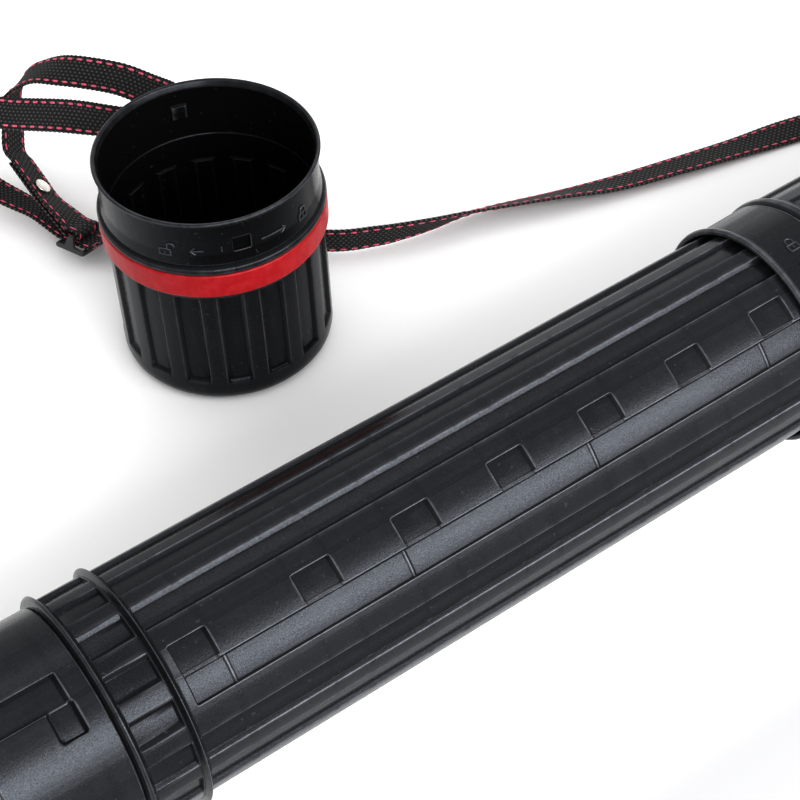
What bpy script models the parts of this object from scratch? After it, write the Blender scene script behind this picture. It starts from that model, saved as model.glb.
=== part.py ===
"""Telescopic drawing tube with a loose bayonet cap and a webbing carrying strap.

Metres, +Z up, floor at z = 0.  The tube lies along X with its closed base at +X;
the cap stands mouth up behind the tube, as it is laid down for use.
Dimensions below are in millimetres and are scaled by MM.
"""
import math

import bmesh
import bpy
from mathutils import Vector

MM = 0.001

# ---------------------------------------------------------------- driving sizes (mm)
AXIS_Z = 52.2            # tube axis above the floor
MOUTH_X = -27.0          # open mouth of the inner tube
INNER_END_X = 540.0      # far end of the inner tube, inside the outer tube
LIP_X = 355.0            # lip of the outer tube
BASE_X = 865.0           # closed base of the outer tube
PANELS = 16              # pressed panels round every fluted wall
PITCH = 45.86            # spacing of the locking pockets
POCKET_LEN = 17.9
POCKET_FIRST = 103.0     # left edge of the first regular pocket
POCKETS = 9
CHANNEL = (35.5, 50.0)   # guide channel, degrees above the horizontal on the -Y side
POCKET_ARC = (50.8, 65.0)
LUG_ARC = 10.0
LUG_X = (380.5, 393.5)

CAP_X, CAP_Y = 200.4, 193.7
CAP_H = 112.5
CAP_LUG_AZ = 48.0        # strap eye on the cap's swivel ring
BASE_LUG_AZ = 50.0       # strap eye on the base's swivel ring, above +Y
CAP_RING_Z = (69.9, 82.5)
BASE_RING_X = (782.6, 795.2)
RING_BORE = 50.85

WEB_W = 16.0
WEB_T = 1.5
GAP = 0.3

CAP_BEAD_R = 53.0
OX = (MOUTH_X + BASE_X) / 2.0
OY = (CAP_Y + CAP_BEAD_R - AXIS_Z) / 2.0

# ---------------------------------------------------------------- scene
for ob in list(bpy.data.objects):
    bpy.data.objects.remove(ob, do_unlink=True)

collection = bpy.context.scene.collection


def world(p):
    return Vector(((p[0] - OX) * MM, (p[1] - OY) * MM, p[2] * MM))


def material(name, colour, roughness, metallic=0.0):
    mat = bpy.data.materials.new(name)
    mat.use_nodes = True
    node = mat.node_tree.nodes["Principled BSDF"]
    node.inputs["Base Color"].default_value = (*colour, 1.0)
    node.inputs["Roughness"].default_value = roughness
    node.inputs["Metallic"].default_value = metallic
    return mat


BLACK = material("black_plastic", (0.012, 0.012, 0.013), 0.36)
RED = material("red_plastic", (0.58, 0.02, 0.035), 0.34)
WEBBING = material("webbing", (0.014, 0.013, 0.013), 0.85)
STEEL = material("rivet_steel", (0.80, 0.80, 0.81), 0.22, 1.0)
SLIDER = material("slider_plastic", (0.02, 0.02, 0.022), 0.40)


def add_mesh(name, verts, faces, mat, origin):
    """verts in mm in the layout frame; origin is the object's own origin."""
    mesh = bpy.data.meshes.new(name)
    base = world(origin)
    mesh.from_pydata([world(v) - base for v in verts], [], faces)
    bm = bmesh.new()
    bm.from_mesh(mesh)
    bmesh.ops.remove_doubles(bm, verts=bm.verts, dist=1e-6)
    bmesh.ops.recalc_face_normals(bm, faces=bm.faces)
    bm.to_mesh(mesh)
    bm.free()
    mesh.update()
    ob = bpy.data.objects.new(name, mesh)
    ob.location = base
    if mat:
        mesh.materials.append(mat)
    collection.objects.link(ob)
    return ob


def helper(ob):
    ob.hide_render = True
    ob.display_type = "WIRE"
    ob.name = ob.name + "_cutter"
    return ob


def boolean(ob, other, operation):
    mod = ob.modifiers.new(operation.lower(), "BOOLEAN")
    mod.operation = operation
    mod.object = other
    mod.solver = "EXACT"
    return mod


def apply_all(ob):
    """Bake the modifiers so that the helpers can go."""
    deps = bpy.context.evaluated_depsgraph_get()
    baked = bpy.data.meshes.new_from_object(ob.evaluated_get(deps))
    old = ob.data
    ob.modifiers.clear()
    ob.data = baked
    bpy.data.meshes.remove(old)


def join_cutters(name, pieces):
    """One helper object holding several separate closed solids."""
    bm = bmesh.new()
    for verts, faces in pieces:
        made = [bm.verts.new(world(v)) for v in verts]
        for f in faces:
            bm.faces.new([made[i] for i in f])
    bmesh.ops.recalc_face_normals(bm, faces=bm.faces)
    mesh = bpy.data.meshes.new(name)
    bm.to_mesh(mesh)
    bm.free()
    ob = bpy.data.objects.new(name, mesh)
    collection.objects.link(ob)
    return helper(ob)


def drop(ob):
    mesh = ob.data
    bpy.data.objects.remove(ob, do_unlink=True)
    bpy.data.meshes.remove(mesh)


# ---------------------------------------------------------------- fluted walls
FLUTE_STEP = 360.0 / PANELS
HALF_OUT, HALF_IN = 7.0, 4.9          # half width of a panel at its rim and at its floor


def flute_angles(first_centre):
    out = []
    for k in range(PANELS):
        c = first_centre + k * FLUTE_STEP
        for off, low in ((-HALF_OUT, False), (-HALF_IN, True), (HALF_IN, True), (HALF_OUT, False)):
            out.append((c + off, low, k))
    return out


def wall_ring(angles, along, land, panel=None, skip=()):
    """One ring of (angle, radius, position along the axis)."""
    return [(a, (panel if (panel is not None and low and k not in skip) else land), along)
            for a, low, k in angles]


def tube_point(a, r, along):
    t = math.radians(a)
    return (along, -r * math.cos(t), AXIS_Z + r * math.sin(t))


def cap_point(a, r, along):
    t = math.radians(a)
    return (CAP_X + r * math.cos(t), CAP_Y + r * math.sin(t), along)


def loft(rings, point, close_start=None, close_end=None):
    """Bridge rings of equal length; open ends joined to each other, or closed with a disc."""
    n = len(rings[0])
    verts, faces = [], []
    for ring in rings:
        verts += [point(*v) for v in ring]
    m = len(rings)
    spans = m if close_start is None else m - 1
    for i in range(spans):
        j = (i + 1) % m
        for k in range(n):
            l = (k + 1) % n
            faces.append((i * n + k, i * n + l, j * n + l, j * n + k))
    if close_start is not None:
        faces.append(tuple(range(n)))
        faces.append(tuple((m - 1) * n + k for k in range(n)))
    return verts, faces


def sector(point, a0, a1, r0, r1, s0, s1, steps=6, r0_end=None):
    """Closed block between two angles, two radii and two stations; r0 may ramp to r0_end."""
    verts, faces = [], []
    r0e = r0 if r0_end is None else r0_end
    for s, low in ((s0, r0), (s1, r0e)):
        for i in range(steps + 1):
            verts.append(point(a0 + (a1 - a0) * i / steps, low, s))
        for i in range(steps + 1):
            verts.append(point(a1 + (a0 - a1) * i / steps, r1, s))
    n = 2 * (steps + 1)
    for i in range(n):
        j = (i + 1) % n
        faces.append((i, j, n + j, n + i))
    faces.append(tuple(range(n)))
    faces.append(tuple(n + i for i in reversed(range(n))))
    return verts, faces


# ---------------------------------------------------------------- inner tube
TUBE_ANGLES = flute_angles(82.5)
# the four panels that give way to the two guide channels and their pockets
SKIP = tuple(k for k in range(PANELS)
             if round((82.5 + k * FLUTE_STEP) % 180.0, 1) in (37.5, 60.0))

N_LAND, GRIP_LAND, GRIP_FLOOR, BODY_FLOOR, RING_R, BORE_R = 47.9, 48.6, 46.8, 46.4, 51.6, 45.0
A = TUBE_ANGLES
inner_rings = [
    wall_ring(A, MOUTH_X, 47.2),
    wall_ring(A, MOUTH_X + 0.7, N_LAND),
    wall_ring(A, 19.2, N_LAND),
    wall_ring(A, 19.8, 47.2),
    wall_ring(A, 20.9, 51.0),
    wall_ring(A, 22.1, RING_R),
    wall_ring(A, 23.6, GRIP_LAND),
    wall_ring(A, 25.0, GRIP_LAND, GRIP_LAND),
    wall_ring(A, 26.6, GRIP_LAND, GRIP_FLOOR),
    wall_ring(A, 40.0, GRIP_LAND, GRIP_FLOOR),
    wall_ring(A, 41.6, GRIP_LAND, GRIP_LAND),
    wall_ring(A, 43.0, GRIP_LAND),
    wall_ring(A, 44.5, RING_R),
    wall_ring(A, 46.1, 48.4),
    wall_ring(A, 47.6, 48.4, 48.4),
    wall_ring(A, 49.4, 48.4, BODY_FLOOR, SKIP),
    wall_ring(A, INNER_END_X - 14.0, 48.4, BODY_FLOOR, SKIP),
    wall_ring(A, INNER_END_X - 12.0, 48.4, 48.4),
    wall_ring(A, INNER_END_X - 0.8, 48.4),
    wall_ring(A, INNER_END_X, 47.6),
    wall_ring(A, INNER_END_X, BORE_R),
    wall_ring(A, MOUTH_X, BORE_R),
]
verts, faces = loft(inner_rings, tube_point)
inner_tube = add_mesh("inner_tube", verts, faces, BLACK, (0, 0, AXIS_Z))

cuts = []
for half in (0.0, 180.0):
    # guide channel, stopped short of the far end so that the tube cannot be pulled out
    cuts.append(sector(tube_point, CHANNEL[0] + half, CHANNEL[1] + half, 47.1, 49.4, 49.6, 522.0))
channel_cut = join_cutters("channel", cuts)
cuts = []
for half in (0.0, 180.0):
    for k in range(POCKETS):
        x0 = POCKET_FIRST + k * PITCH
        cuts.append(sector(tube_point, POCKET_ARC[0] - 2.0 + half, POCKET_ARC[1] + half,
                           47.25, 49.4, x0, x0 + POCKET_LEN))
    cuts.append(sector(tube_point, POCKET_ARC[0] - 2.0 + half, POCKET_ARC[1] + half,
                       47.25, 49.4, 49.6, 66.0))
pocket_cut = join_cutters("pockets", cuts)
cuts = []
for half in (0.0, 180.0):
    for k in range(POCKETS):
        x0 = POCKET_FIRST + k * PITCH
        cuts.append(sector(tube_point, POCKET_ARC[0] + half, POCKET_ARC[1] - 0.4 + half,
                           46.9, 49.6, x0 + 0.4, x0 + POCKET_LEN - 0.4, r0_end=46.4))
deep_cut = join_cutters("pocket_floors", cuts)
cuts = []
for half in (0.0, 180.0):
    # bayonet slot of the cap: the way in, and the pocket beside it
    cuts.append(sector(tube_point, 65.6 + half, 80.6 + half, 46.4, 49.0, MOUTH_X - 2.0, 10.6))
bay_in_cut = join_cutters("bayonet_entry", cuts)
cuts = []
for half in (0.0, 180.0):
    cuts.append(sector(tube_point, 50.0 + half, 66.4 + half, 46.3, 49.2, 0.2, 11.4))
bay_pocket_cut = join_cutters("bayonet_pocket", cuts)
for cutter in (channel_cut, pocket_cut, deep_cut, bay_in_cut, bay_pocket_cut):
    boolean(inner_tube, cutter, "DIFFERENCE")
apply_all(inner_tube)
for cutter in (channel_cut, pocket_cut, deep_cut, bay_in_cut, bay_pocket_cut):
    drop(cutter)

# ---------------------------------------------------------------- outer tube
O_LAND, O_FLOOR, O_BORE = 50.9, 50.0, 49.1
outer_rings = [
    wall_ring(A, BASE_X - 2.5, O_BORE - 1.5),
    wall_ring(A, BASE_X - 4.0, O_BORE),
    wall_ring(A, LIP_X, O_BORE),
    wall_ring(A, LIP_X, 51.2),
    wall_ring(A, LIP_X + 1.1, 52.0),
    wall_ring(A, LIP_X + 2.6, 51.4),
    wall_ring(A, LIP_X + 4.2, 50.3),
    wall_ring(A, LIP_X + 28.2, 51.0),
    wall_ring(A, LIP_X + 29.6, 50.3),
    wall_ring(A, LIP_X + 31.2, 51.9),
    wall_ring(A, LIP_X + 33.6, 52.2),
    wall_ring(A, LIP_X + 36.4, O_LAND, O_LAND),
    wall_ring(A, LIP_X + 38.4, O_LAND, O_FLOOR),
    wall_ring(A, BASE_RING_X[0] - 13.5, O_LAND, O_FLOOR),
    wall_ring(A, BASE_RING_X[0] - 11.5, O_LAND, O_LAND),
    wall_ring(A, BASE_RING_X[0] - 4.4, O_LAND),
    wall_ring(A, BASE_RING_X[0] - 3.0, 51.9),
    wall_ring(A, BASE_RING_X[0] - GAP, 51.7),
    wall_ring(A, BASE_RING_X[0] - GAP, 50.45),
    wall_ring(A, BASE_RING_X[1] + GAP, 50.45),
    wall_ring(A, BASE_RING_X[1] + GAP, 51.3),
    wall_ring(A, BASE_RING_X[1] + 2.0, O_LAND, O_LAND),
    wall_ring(A, BASE_RING_X[1] + 4.3, O_LAND, O_FLOOR),
    wall_ring(A, BASE_X - 16.0, O_LAND, O_FLOOR),
    wall_ring(A, BASE_X - 13.0, O_LAND, O_LAND),
]
for i in range(4):
    t = math.radians(30.0 * i)
    outer_rings.append(wall_ring(A, BASE_X - 6.3 + 6.3 * math.sin(t), O_LAND - 6.3 + 6.3 * math.cos(t)))
verts, faces = loft(outer_rings, tube_point, close_start=True, close_end=True)
outer_tube = add_mesh("outer_tube", verts, faces, BLACK, (BASE_X - 80.0, 0, AXIS_Z))

CH_MID = (CHANNEL[0] + CHANNEL[1]) / 2.0
lugs = [sector(tube_point, CH_MID - LUG_ARC / 2 + half, CH_MID + LUG_ARC / 2 + half, 47.6, 49.7,
               LUG_X[0], LUG_X[1], steps=3) for half in (0.0, 180.0)]
lug_add = join_cutters("lock_lugs", lugs)
boolean(outer_tube, lug_add, "UNION")
apply_all(outer_tube)
drop(lug_add)

# ---------------------------------------------------------------- cap
C = flute_angles(245.4)
cap_rings = [
    wall_ring(C, 3.0, 46.0),
    wall_ring(C, 4.5, 47.3),
    wall_ring(C, 64.5, 47.3),
    wall_ring(C, 65.6, 48.6),
    wall_ring(C, CAP_H - 3.0, 48.6),
    wall_ring(C, CAP_H - 0.4, 49.9),
    wall_ring(C, CAP_H, 50.9),
    wall_ring(C, CAP_H - 1.2, 52.0),
    wall_ring(C, CAP_H - 3.4, 50.3),
    wall_ring(C, 94.0, 50.3),
    wall_ring(C, 87.8, 51.2),
    wall_ring(C, 86.8, 50.6),
    wall_ring(C, 85.8, 52.4),
    wall_ring(C, 84.3, CAP_BEAD_R),
    wall_ring(C, CAP_RING_Z[1] + GAP, 52.3),
    wall_ring(C, CAP_RING_Z[1] + GAP, 50.45),
    wall_ring(C, CAP_RING_Z[0] - GAP, 50.45),
    wall_ring(C, CAP_RING_Z[0] - GAP, 51.3),
    wall_ring(C, 67.6, 50.8, 50.8),
    wall_ring(C, 65.4, 50.8, 49.0),
    wall_ring(C, 16.0, 50.8, 49.0),
    wall_ring(C, 12.5, 50.8, 50.8),
]
for i in range(4):
    t = math.radians(30.0 * i)
    cap_rings.append(wall_ring(C, 6.3 - 6.3 * math.sin(t), 50.8 - 6.3 + 6.3 * math.cos(t)))
verts, faces = loft(cap_rings, cap_point, close_start=True, close_end=True)
cap_shell = add_mesh("cap_shell", verts, faces, BLACK, (CAP_X, CAP_Y, 0))
lugs = [sector(cap_point, 250.4 + half, 259.8 + half, 46.9, 49.4, 93.7, 101.1, steps=3)
        for half in (0.0, 180.0)]
lug_add = join_cutters("bayonet_lugs", lugs)
boolean(cap_shell, lug_add, "UNION")
apply_all(cap_shell)
drop(lug_add)

# ---------------------------------------------------------------- swivel rings with a strap eye
EYE_HALF = 10.6          # half length of the eye along the ring's axis
EYE_ARM = 2.0
POST_R = 1.3
POST_AT = 5.8            # post axis outside the ring's outer radius


def swivel_ring(name, point, s0, s1, r_out, eye_angle, origin):
    n = 56
    ring = []
    for r, s in ((RING_BORE, s0), (RING_BORE, s1), (r_out, s1), (r_out, s0)):
        ring.append([(eye_angle + 360.0 * i / n, r, s) for i in range(n)])
    v, f = loft(ring, point)
    ob = add_mesh(name, v, f, RED, origin)
    mid = (s0 + s1) / 2.0
    half = math.degrees(4.2 / r_out)
    arms = []
    for side in (-1.0, 1.0):
        a, b = mid + side * (EYE_HALF - EYE_ARM), mid + side * (EYE_HALF - 0.05)
        arms.append(sector(point, eye_angle - half + 0.1, eye_angle + half - 0.1, r_out + 0.8,
                           r_out + POST_AT + POST_R + 0.4, min(a, b), max(a, b), steps=3))
    # the eye's plate stands clear of the wall's beads; a narrower foot joins it to the ring
    foot = [sector(point, eye_angle - half + 0.2, eye_angle + half - 0.2, r_out - 0.8, r_out + 0.9,
                   s0 + 0.9, s1 - 0.9, steps=3)]
    plate = [sector(point, eye_angle - half, eye_angle + half, r_out + 0.5, r_out + 1.3,
                    mid - EYE_HALF, mid + EYE_HALF, steps=3)]
    # round post between the arms
    post_v, post_f = [], []
    centre = point(eye_angle, r_out + POST_AT, 0.0)
    out = Vector(point(eye_angle, r_out + POST_AT + 1.0, 0.0)) - Vector(centre)
    ax = Vector(point(eye_angle, r_out, 1.0)) - Vector(point(eye_angle, r_out, 0.0))
    side_v = ax.cross(out)
    m = 10
    for s in (mid - EYE_HALF + 0.7, mid + EYE_HALF - 0.7):
        for i in range(m):
            t = 2 * math.pi * (i + 0.5) / m
            post_v.append(tuple(Vector(centre) + ax * s + (out * math.cos(t) + side_v * math.sin(t)) * POST_R))
    for i in range(m):
        j = (i + 1) % m
        post_f.append((i, j, m + j, m + i))
    post_f.append(tuple(range(m)))
    post_f.append(tuple(m + i for i in reversed(range(m))))
    adds = [join_cutters(name + "_foot", foot), join_cutters(name + "_plate", plate),
            join_cutters(name + "_arms", arms), join_cutters(name + "_post", [(post_v, post_f)])]
    for add in adds:
        boolean(ob, add, "UNION")
    apply_all(ob)
    for add in adds:
        drop(add)
    return ob


def base_point(a, r, s):
    """Angles on the base ring run from +Y upward."""
    t = math.radians(a)
    return (s, r * math.cos(t), AXIS_Z + r * math.sin(t))


CAP_RING_R, BASE_RING_R = 52.9, 52.2
cap_ring = swivel_ring("cap_ring", cap_point, CAP_RING_Z[0], CAP_RING_Z[1], CAP_RING_R, CAP_LUG_AZ,
                       (CAP_X, CAP_Y, sum(CAP_RING_Z) / 2))
base_ring = swivel_ring("base_ring", base_point, BASE_RING_X[0], BASE_RING_X[1], BASE_RING_R, BASE_LUG_AZ,
                        (sum(BASE_RING_X) / 2, 0, AXIS_Z))

# ---------------------------------------------------------------- webbing strap
WRAP_R = POST_R + GAP + WEB_T / 2.0 + 0.1


def spline(points, per_span):
    """Smooth curve through (position, width direction) control points."""
    out = []
    n = len(points)
    for i in range(n - 1):
        p0, p1, p2, p3 = (points[max(i - 1, 0)], points[i], points[i + 1], points[min(i + 2, n - 1)])
        steps = per_span
        for k in range(steps):
            t = k / steps
            both = []
            for c in (0, 1):
                a, b, d, e = (Vector(p[c]) for p in (p0, p1, p2, p3))
                both.append(0.5 * ((2 * b) + (d - a) * t + (2 * a - 5 * b + 4 * d - e) * t * t
                                   + (3 * b - a - 3 * d + e) * t ** 3))
            out.append((both[0], both[1]))
    out.append((Vector(points[-1][0]), Vector(points[-1][1])))
    return out


def flat_strip(name, path, mat, origin, width=WEB_W, thick=WEB_T):
    """Rectangular ribbon along (position, width direction) stations."""
    verts, faces = [], []
    n = len(path)
    for i, (p, w) in enumerate(path):
        tangent = (path[min(i + 1, n - 1)][0] - path[max(i - 1, 0)][0]).normalized()
        w = (w - tangent * w.dot(tangent)).normalized()
        nrm = tangent.cross(w)
        for a, b in ((1, 1), (-1, 1), (-1, -1), (1, -1)):
            verts.append(tuple(p + w * (a * width / 2) + nrm * (b * thick / 2)))
    for i in range(n - 1):
        for k in range(4):
            l = (k + 1) % 4
            faces.append((4 * i + k, 4 * i + l, 4 * i + 4 + l, 4 * i + 4 + k))
    faces.append((0, 1, 2, 3))
    faces.append(tuple(4 * (n - 1) + k for k in (3, 2, 1, 0)))
    return add_mesh(name, verts, faces, mat, origin)


def tilt(direction, degrees):
    """Width direction at a tilt from upright, for a ribbon heading along direction."""
    d = Vector(direction).normalized()
    side = d.cross(Vector((0, 0, 1))).normalized()
    up = side.cross(d)
    t = math.radians(degrees)
    return up * math.cos(t) + side * math.sin(t)


def half_turn(centre, start, over, steps=6):
    """Stations of a half turn about a post: from centre+start, by way of centre+over, to centre-start."""
    return [centre + start * math.cos(math.pi * i / steps) + over * math.sin(math.pi * i / steps)
            for i in range(steps + 1)]


# eye of the base ring: the strap's end is folded round the post and riveted to itself
b_out = Vector((0, math.cos(math.radians(BASE_LUG_AZ)), math.sin(math.radians(BASE_LUG_AZ))))
b_down = Vector((0, math.sin(math.radians(BASE_LUG_AZ)), -math.cos(math.radians(BASE_LUG_AZ))))
b_mid = Vector((sum(BASE_RING_X) / 2, 0, AXIS_Z))
b_post = b_mid + b_out * (BASE_RING_R + POST_AT)
ACROSS_B = Vector((-1, 0, 0))
FOLD = 1.05              # half spacing of two layers lying together
base_path = []
for s in (38.0, 30.0, 22.0, 14.0, 7.0):
    ease = min(1.0, max(0.0, (s - 4.0) / 18.0))
    ease = ease * ease * (3 - 2 * ease)
    base_path.append((b_post + b_down * s - b_out * (WRAP_R + (FOLD - WRAP_R) * ease), ACROSS_B))
base_path += [(q, ACROSS_B) for q in half_turn(b_post, -b_out * WRAP_R, -b_down * WRAP_R)]
for s in (7.0, 14.0, 22.0, 30.0):
    ease = min(1.0, max(0.0, (s - 4.0) / 18.0))
    ease = ease * ease * (3 - 2 * ease)
    base_path.append((b_post + b_down * s + b_out * (WRAP_R + (FOLD - WRAP_R) * ease), ACROSS_B))

# from the base to the slider: over the floor behind the tube, then on edge behind the cap
RUN = [
    (b_post + b_down * 40.0 + b_out * FOLD, ACROSS_B),
    ((784.0, 88.0, 58.0), tilt((-0.35, 0.75, -0.6), -66)),
    ((768.0, 103.0, 40.0), tilt((-0.75, 0.5, -0.5), -35)),
    ((742.0, 109.0, 26.0), tilt((-0.9, 0.15, -0.4), -28)),
    ((705.0, 108.0, 13.5), tilt((-0.97, 0.0, -0.2), -48)),
    ((662.0, 109.0, 5.5), tilt((-0.98, 0.08, -0.1), -76)),
    ((612.0, 115.0, 1.9), tilt((-0.98, 0.16, 0), -88)),
    ((560.0, 124.5, 1.6), tilt((-0.98, 0.2, 0), -92)),
    ((515.6, 134.2, 2.3), tilt((-0.98, 0.22, 0), -98)),
    ((484.8, 141.3, 1.9), tilt((-0.97, 0.23, 0), -86)),
    ((449.2, 149.0, 2.7), tilt((-0.97, 0.24, 0), -80)),
    ((415.1, 157.5, 3.0), tilt((-0.95, 0.31, 0), -75)),
    ((383.0, 167.4, 5.1), tilt((-0.93, 0.33, 0), -60)),
    ((351.9, 178.2, 6.3), tilt((-0.95, 0.31, 0), -52)),
    ((336.5, 182.6, 6.9), tilt((-0.96, 0.27, 0), -43)),
    ((319.8, 185.7, 7.7), tilt((-0.96, 0.27, 0), -29)),
    ((304.6, 189.8, 8.3), tilt((-0.94, 0.33, 0), -19)),
    ((289.9, 195.3, 8.6), tilt((-0.91, 0.42, 0), -11)),
    ((269.7, 206.3, 8.8), tilt((-0.86, 0.51, 0), -7)),
    ((240.0, 235.0, 8.8), tilt((-0.72, 0.69, 0), -4)),
    ((213.0, 260.5, 8.8), tilt((-0.76, 0.65, 0), -6)),
    ((191.5, 271.0, 9.5), tilt((-0.93, 0.36, 0), -14)),
    ((183.5, 273.0, 11.0), tilt((-0.8, 0.6, 0), -42)),
]

# slider frame: along the strap toward its loop side, across (left edge up), and outward
S0 = Vector((171.4, 287.2, 7.3))
E1 = Vector((-0.42, 0.905, 0.06)).normalized()
E2 = tilt(E1, -74)
E3 = E1.cross(E2)
if E3.z < 0:
    E3 = -E3


def local(a, b, c):
    return S0 + E1 * a + E2 * b + E3 * c


RUN += [
    (local(-11.0, 0, 1.2), E2 + E3 * 0.15),
    (local(-9.0, 0, 0.3), E2),
    (local(0, 0, 0), E2),
    (local(9.0, 0, 0), E2),
    ((163.6, 315.5, 8.4), Vector((-0.90, -0.31, 0.32))),
    ((157.6, 330.5, 9.8), Vector((-0.91, -0.34, 0.22))),
    # out of the picture: the loop rises and comes back
    ((149.0, 348.0, 14.0), Vector((-0.90, -0.42, 0.05))),
    ((142.0, 361.0, 26.0), Vector((-0.86, -0.48, -0.15))),
    ((142.5, 365.0, 41.0), Vector((-0.80, -0.50, -0.35))),
    ((149.5, 358.0, 53.0), Vector((-0.74, -0.45, -0.50))),
    ((158.5, 343.5, 59.5), Vector((-0.70, -0.38, -0.60))),
    ((165.5, 330.3, 63.0), -tilt((-0.41, 0.86, -0.31), 48)),
    ((180.7, 302.1, 72.0), -tilt((-0.52, 0.83, -0.21), 42)),
    ((194.6, 280.0, 76.0), -tilt((-0.50, 0.86, -0.10), 18)),
    ((210.5, 262.5, 76.2), -tilt((-0.68, 0.73, 0), 6)),
]
c_out = Vector((math.cos(math.radians(CAP_LUG_AZ)), math.sin(math.radians(CAP_LUG_AZ)), 0))
c_left = Vector((-c_out.y, c_out.x, 0))
c_post = Vector((CAP_X, CAP_Y, sum(CAP_RING_Z) / 2)) + c_out * (CAP_RING_R + POST_AT)
DOWN = Vector((0, 0, -1))
lug_turn = [(q, DOWN) for q in half_turn(c_post, -c_out * WRAP_R, -c_left * WRAP_R)]
RUN_IN = RUN + [(c_post + c_left * 14.0 - c_out * (WRAP_R + 0.3), DOWN),
                (c_post + c_left * 5.0 - c_out * WRAP_R, DOWN)]
# the strap's riveted end climbs away from the slider along e_dir
e_dir = Vector((-0.03, 0.94, 0.34)).normalized()
rivet_at = Vector((168.9, 322.7, 18.1))
e_w = Vector((-0.76, -0.20, 0.57))
e_w = (e_w - e_dir * e_w.dot(e_dir)).normalized()
e_n = e_dir.cross(e_w)
if e_n.z < 0:
    e_n = -e_n
END_TOP = rivet_at + e_dir * 20.0  # meets the running strap here
RUN_OUT = [
    (c_post + c_left * 5.0 + c_out * WRAP_R, DOWN),
    (c_post + c_left * 14.0 + c_out * (WRAP_R + 2.5), -tilt((-0.55, 0.83, 0), 6)),
    ((230.5, 272.0, 74.5), -tilt((-0.30, 0.95, 0), 20)),
    ((224.5, 293.0, 72.0), -tilt((-0.45, 0.88, 0), 48)),
    ((217.3, 308.6, 72.8), -tilt((-0.54, 0.83, 0.02), 52)),
    ((208.5, 322.2, 72.4), -tilt((-0.53, 0.84, -0.12), 50)),
    ((199.6, 336.7, 70.0), -tilt((-0.47, 0.85, -0.22), 54)),
    ((192.6, 351.5, 64.0), -tilt((-0.42, 0.81, -0.40), 76)),
    ((186.6, 361.0, 56.5), Vector((-0.78, -0.55, -0.10))),
    ((179.5, 364.5, 46.0), Vector((-0.80, -0.40, 0.30))),
    ((174.5, 358.0, 36.0), Vector((-0.78, -0.30, 0.48))),
    (END_TOP + e_dir * 7.0, e_w),
    (END_TOP + e_dir * 0.6, e_w),
]
webbing = (base_path + spline(RUN_IN, 2) + lug_turn + spline(RUN_OUT, 2))
strap_webbing = flat_strip("strap_webbing", webbing, WEBBING, (OX, OY, 0))

# the strap's other end: folded round the slider's middle bar and riveted to itself
BAR_UP = WEB_T / 2 + GAP + WEB_T + GAP + 1.1 + 0.4     # middle bar above the running layer
BAR_R = 1.1
END_R = BAR_R + GAP + WEB_T / 2 + 0.1
bar = local(0, 0, BAR_UP)
end_path = []
top_mid = (bar + E3 * END_R + E1 * 4.0) * 0.58 + (rivet_at - e_dir * 6.5) * 0.42
tail_mid = (bar - E3 * END_R + E1 * 4.0) * 0.58 + (rivet_at - e_dir * 6.5 - e_n * 2.1) * 0.42
top_line = spline([(bar + E3 * END_R + E1 * 4.0, E2), (top_mid, (E2 + e_w) / 2),
                   (rivet_at - e_dir * 6.5, e_w), (rivet_at + e_dir * 6.5, e_w),
                   (END_TOP, e_w)], 3)
tail_line = spline([(bar - E3 * END_R + E1 * 4.0, E2), (tail_mid, (E2 + e_w) / 2),
                    (rivet_at - e_dir * 6.5 - e_n * 2.1, e_w),
                    (rivet_at + e_dir * 6.5 - e_n * 2.1, e_w),
                    (rivet_at + e_dir * 19.0 - e_n * 2.1, e_w)], 3)
end_path += list(reversed(tail_line))
end_path += [(q, E2) for q in half_turn(bar, -E3 * END_R, -E1 * END_R)]
end_path += top_line
strap_slider_end = flat_strip("strap_slider_end", end_path, WEBBING, tuple(S0))

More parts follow.
